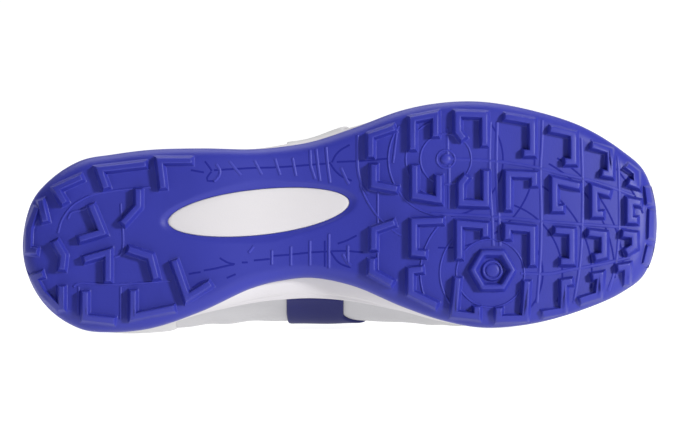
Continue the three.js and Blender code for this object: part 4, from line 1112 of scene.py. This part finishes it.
def build_tongue():
    b = Builder()
    start, stop = both_first(tongue_in)
    rows = np.flatnonzero(stop - start > 2)
    u = np.r_[0, 0.006, 0.02, 0.045, np.linspace(0.08, 0.92, 50), 0.955, 0.98, 0.994, 1]
    low = taper(len(u), (0.1, 0.4, 0.7, 0.9), (0.9, 0.7, 0.4, 0.1))
    ends = taper(len(rows), (0.1, 0.45, 0.72, 0.9), (0.9, 0.7, 0.4, 0.1))
    s, v = between(start, stop, rows, u)
    p = sample(LAST, s, v)
    swell = 1 - smooth(-6.5, -0.8, throat_distance(p))
    sink, stand = 0.45, 1.2  # how far it lies under the upper, and stands out of the throat
    outer = -WALL - sink + swell * (WALL + sink + stand)
    quilt = 0.35 * np.cos(p[..., 0] / 5.5) * swell
    centre = -WALL - GAP - TONGUE_T / 2
    k = low * ends[:, None]
    shell(b, s, v, centre + (outer + quilt - centre) * k, centre - TONGUE_T / 2 * k)
    rows = rows[6:-6]
    stitch_line(ROW[rows], (start + (stop - start) * 0.06)[rows], -WALL - 0.35)
    return b


def build_padding():
    b = Builder()
    lows = both_first(lambda p: p[..., 2] > topline(np.minimum(p[..., 0], 0.34 * LENGTH)) - PADDING_DEPTH)
    rows = np.flatnonzero((LAST[:, 40, 0] < 0.325 * LENGTH) & OPEN & ~np.isnan(lows[0]))
    rest = np.linspace(0.2, 1, 22)
    u = np.r_[0, 0.01, 0.03, 0.06, 0.1, 0.15, rest]
    puff = np.r_[0.12, 0.4, 0.62, 0.8, 0.92, 0.98, 1 - 0.7 * smooth(0.35, 1, rest)]
    k = puff * taper(len(rows), tail=(0.8, 0.6, 0.35, 0.15))[:, None]
    for edge, low, sign in ((EDGE_L, lows[0], 1), (EDGE_M, lows[1], -1)):
        s, v = between(edge, low, rows, u)
        v = v + sign * 0.35 * np.clip(1 - u * 12, 0, 1) * (1 - u)
        shell(b, s, v, -WALL - 0.15, -WALL - 0.35 - PADDING_T * k)
    return b


def place_on(xy):
    """Row and column places of the last's top at points in plan."""
    first, last = 30, NV - 30
    grid = LAST[:, first:last, :2]
    places = []
    for q in xy:
        near = ((grid - q) ** 2).sum(-1)
        at = np.unravel_index(np.argmin(near), near.shape) + np.array([0.0, first])
        for _ in range(3):
            slopes = [(sample(LAST, *(at + step)) - sample(LAST, *(at - step)))[:2] for step in np.eye(2) / 2]
            m = np.column_stack(slopes)
            if abs(np.linalg.det(m)) < 1e-6:
                break
            at = at + np.clip(np.linalg.solve(m, q - sample(LAST, *at)[:2]), -2, 2)
        places.append(at)
    return np.array(places).T


def eyelet(k, side):
    """Centre in plan of an eyelet, counted from the top."""
    back, front = THROAT["shoulder"] * LENGTH, THROAT["front"] * LENGTH - THROAT_END_W / 2
    x = back + (front - back) * k / (EYELETS - 1)
    along = (x / LENGTH - THROAT["back"]) / (THROAT["front"] - THROAT["back"])
    mid = (THROAT["back_y"] + (THROAT["front_y"] - THROAT["back_y"]) * along) * BALL
    half = (THROAT_TOP_W + (THROAT_END_W - THROAT_TOP_W) * along) / 2 + EYELET_IN
    return np.array([x, mid + side * half])


LACE = dict(wide=3.0, narrow=1.2, thick=0.62, over=2.35, dive=3.6, cross=1.25)
EYELET_PROFILE = [(2.9, -0.1), (2.7, 0.35), (2.3, 0.45), (2.0, 0.3), (0.05, 0.24)]  # radius, height


def build_laces():
    lace, holes = Builder(), Builder()
    spans = [(eyelet(EYELETS - 1, -1), eyelet(EYELETS - 1, 1), 0)]
    spans += [(eyelet(k, side), eyelet(k - 1, -side), side) for k in range(1, EYELETS) for side in (-1, 1)]
    ring = round_of(14)
    wide = np.sign(ring[:, 0]) * np.abs(ring[:, 0]) ** 0.7
    for a, c, side in spans:
        t = even(46)
        s, v = place_on(a + (c - a) * t[:, None])
        n = normal(s, v)
        d = np.linalg.norm(c - a) * np.minimum(t, 1 - t)
        off = LACE["over"] - LACE["dive"] * (1 - smooth(0.6, 4.2, d))
        off = off + LACE["cross"] * (side > 0) * np.exp(-((t - 0.5) / 0.13) ** 2)
        p = surf(s, v, off)
        for _ in range(4):
            p[1:-1] = (p[:-2] + 2 * p[1:-1] + p[2:]) / 4
        tan = unit(np.gradient(p, axis=0))
        side_on = unit(np.cross(n, tan))
        half = LACE["wide"] - LACE["narrow"] * (1 - smooth(0.0, 5.0, d))
        lace.tube(p[:, None] + side_on[:, None] * np.outer(half, wide)[..., None]
                  + np.cross(tan, side_on)[:, None] * (LACE["thick"] * ring[:, 1])[:, None], start_too=True)
    for k in range(EYELETS):
        for side in (-1, 1):
            s, v = place_on(eyelet(k, side)[None])
            p, n = surf(s, v, GAP + OVERLAY)[0], normal(s, v)[0]
            e1 = unit(np.cross(n, [0, 1, 0]))
            disc = ring @ np.array([e1, np.cross(n, e1)])
            holes.grid([p + n * h + r * disc for r, h in EYELET_PROFILE], close=True)
    return lace, holes


def build_insole():
    b = Builder()
    lat, med = inset(*sides(TOP, FINE), LEDGE + WALL + 1)
    share = np.r_[0, 0.01, 0.03, 0.06, np.linspace(0.1, 0.9, 24), 0.94, 0.97, 0.99, 1]
    g = across(lat, med, share)
    side = np.minimum(share, 1 - share)
    cup = INSOLE_CUP * (1 - smooth(0, 0.17, side)) - 1 + np.minimum(side / 0.02, 1)
    top, low = g.copy(), g.copy()
    low[..., 2] = top_z(g[..., 0]) + GAP
    top[..., 2] = low[..., 2] + INSOLE_T + cup
    b.grid(top, flip=True)
    b.grid(low)
    for end in (0, -1):
        b.grid([top[:, end], low[:, end]])
    return b


STAY_EDGES = both_first(lambda p: near_throat(p, EYESTAY_W))
LACE_RUN, EYELET_HOLES = build_laces()
for built, name, material, node, slot in (
        (build_upper(), "upper_skin", LEATHER_M, "upper", "white_leather"),
        (build_toe_cap(), "toe_cap_skin", OVER_M, "toe_cap", "white_overlay"),
        (build_counter(), "heel_counter_skin", OVER_M, "heel_counter", "white_overlay"),
        (build_eyestay(STAY_EDGES), "eyestay_skin", OVER_M, "eyestay", "white_overlay"),
        (build_band(STAY_EDGES[1], True), "band_medial", BAND_M, "side_band_medial", "blue_band"),
        (build_band(STAY_EDGES[0], False), "band_lateral", OVER_M, "side_band_lateral", "white_overlay"),
        (build_tongue(), "tongue_pad", CLOTH_M, "tongue", "white_tongue"),
        (build_padding(), "collar_pad", LINING_M, "collar_padding", "blue_lining"),
        (LACE_RUN, "lace_run", LACE_M, "laces", "white_lace")):
    obj = built.make(name, material, node=node, slot=slot, flat_angle=60)
# Dark discs over the eyelet holes: painted shade of the holes.
EYELET_HOLES.make("eyelet_holes", HOLE_SHADE_M, slot="blue_lining")
build_insole().make("insole_cloth", LINING_M, node="insole", slot="blue_lining", flat_angle=60)
STITCH.make("stitches", THREAD_M, slot="white_overlay")


CENTRE = (0, 0, 0.05)
LIGHTS = [  # name, place, width and depth, watts
    ("key", (1.75, -1.45, 0.72), (0.3, 0.3), 50),
    ("top", (-0.2, 0.35, 1.6), (1.8, 1.4), 24)]
FLOOR_SIDE, FLOOR_FRONT, FLOOR_BACK, CURVE_R, WALL_TOP = 9, -9, 7, 2, 6
CAM_LOOK, CAM_AWAY, CAM_UP, CAM_ROLL = Vector((0.0, -0.05, 0.0529)), 3.0, 3.0, -1.7  # metres and degrees
SENSOR, VIEW_WIDTH = 36, 0.3114


def linked(name, data):
    obj = bpy.data.objects.new(name, data)
    bpy.context.scene.collection.objects.link(obj)
    return obj


def build_floor():
    """A floor with a backdrop that curves up behind."""
    turns = np.linspace(0.1, math.pi / 2, 14)
    prof = [(FLOOR_FRONT, 0), (FLOOR_BACK, 0)]
    prof += [(FLOOR_BACK + CURVE_R * math.sin(t), CURVE_R - CURVE_R * math.cos(t)) for t in turns]
    prof.append((FLOOR_BACK + CURVE_R, WALL_TOP))
    mesh = bpy.data.meshes.new("floor")
    faces = [(2 * i, 2 * i + 1, 2 * i + 3, 2 * i + 2) for i in range(len(prof) - 1)]
    mesh.from_pydata([(x, y, z) for y, z in prof for x in (-FLOOR_SIDE, FLOOR_SIDE)], [], faces)
    mesh.polygons.foreach_set("use_smooth", [True] * len(faces))
    obj = linked("floor", mesh)
    pale = plain("backdrop", (0.3, 0.3, 0.3, 1), 0.9, spec=0.1)
    fill(pale.node_tree.nodes["Principled BSDF"], {"Emission Color": (1, 1, 1, 1), "Emission Strength": 0.92})
    mesh.materials.append(pale)


def build_lights():
    world = bpy.data.worlds.new("world")
    bpy.context.scene.world = world
    world.use_nodes = True
    fill(world.node_tree.nodes["Background"], {"Color": (1, 1, 1, 1), "Strength": 0.1})
    bpy.context.scene.view_settings.view_transform = "Standard"
    for name, place, size, watts in LIGHTS:
        lamp = bpy.data.lights.new(name, "AREA")
        lamp.shape = "RECTANGLE"
        lamp.size, lamp.size_y, lamp.energy = *size, watts
        obj = linked(name, lamp)
        obj.location = place
        obj.rotation_euler = (Vector(CENTRE) - Vector(place)).to_track_quat("-Z", "Y").to_euler()


def build_camera():
    """A long lens nearly level with the sole, turned a little as in the photo."""
    cam = bpy.data.cameras.new("camera")
    camera = linked("camera", cam)
    bpy.context.scene.camera = camera
    up = math.radians(CAM_UP)
    camera.location = CAM_LOOK + Vector((0, -CAM_AWAY * math.cos(up), CAM_AWAY * math.sin(up)))
    aim = (CAM_LOOK - camera.location).to_track_quat("-Z", "Y")
    camera.rotation_euler = (aim @ Quaternion((0, 0, 1), math.radians(CAM_ROLL))).to_euler()
    cam.sensor_width = SENSOR
    cam.lens = SENSOR * CAM_AWAY / VIEW_WIDTH
    cam.clip_start, cam.clip_end = 0.05, 60


build_floor()
build_lights()
build_camera()
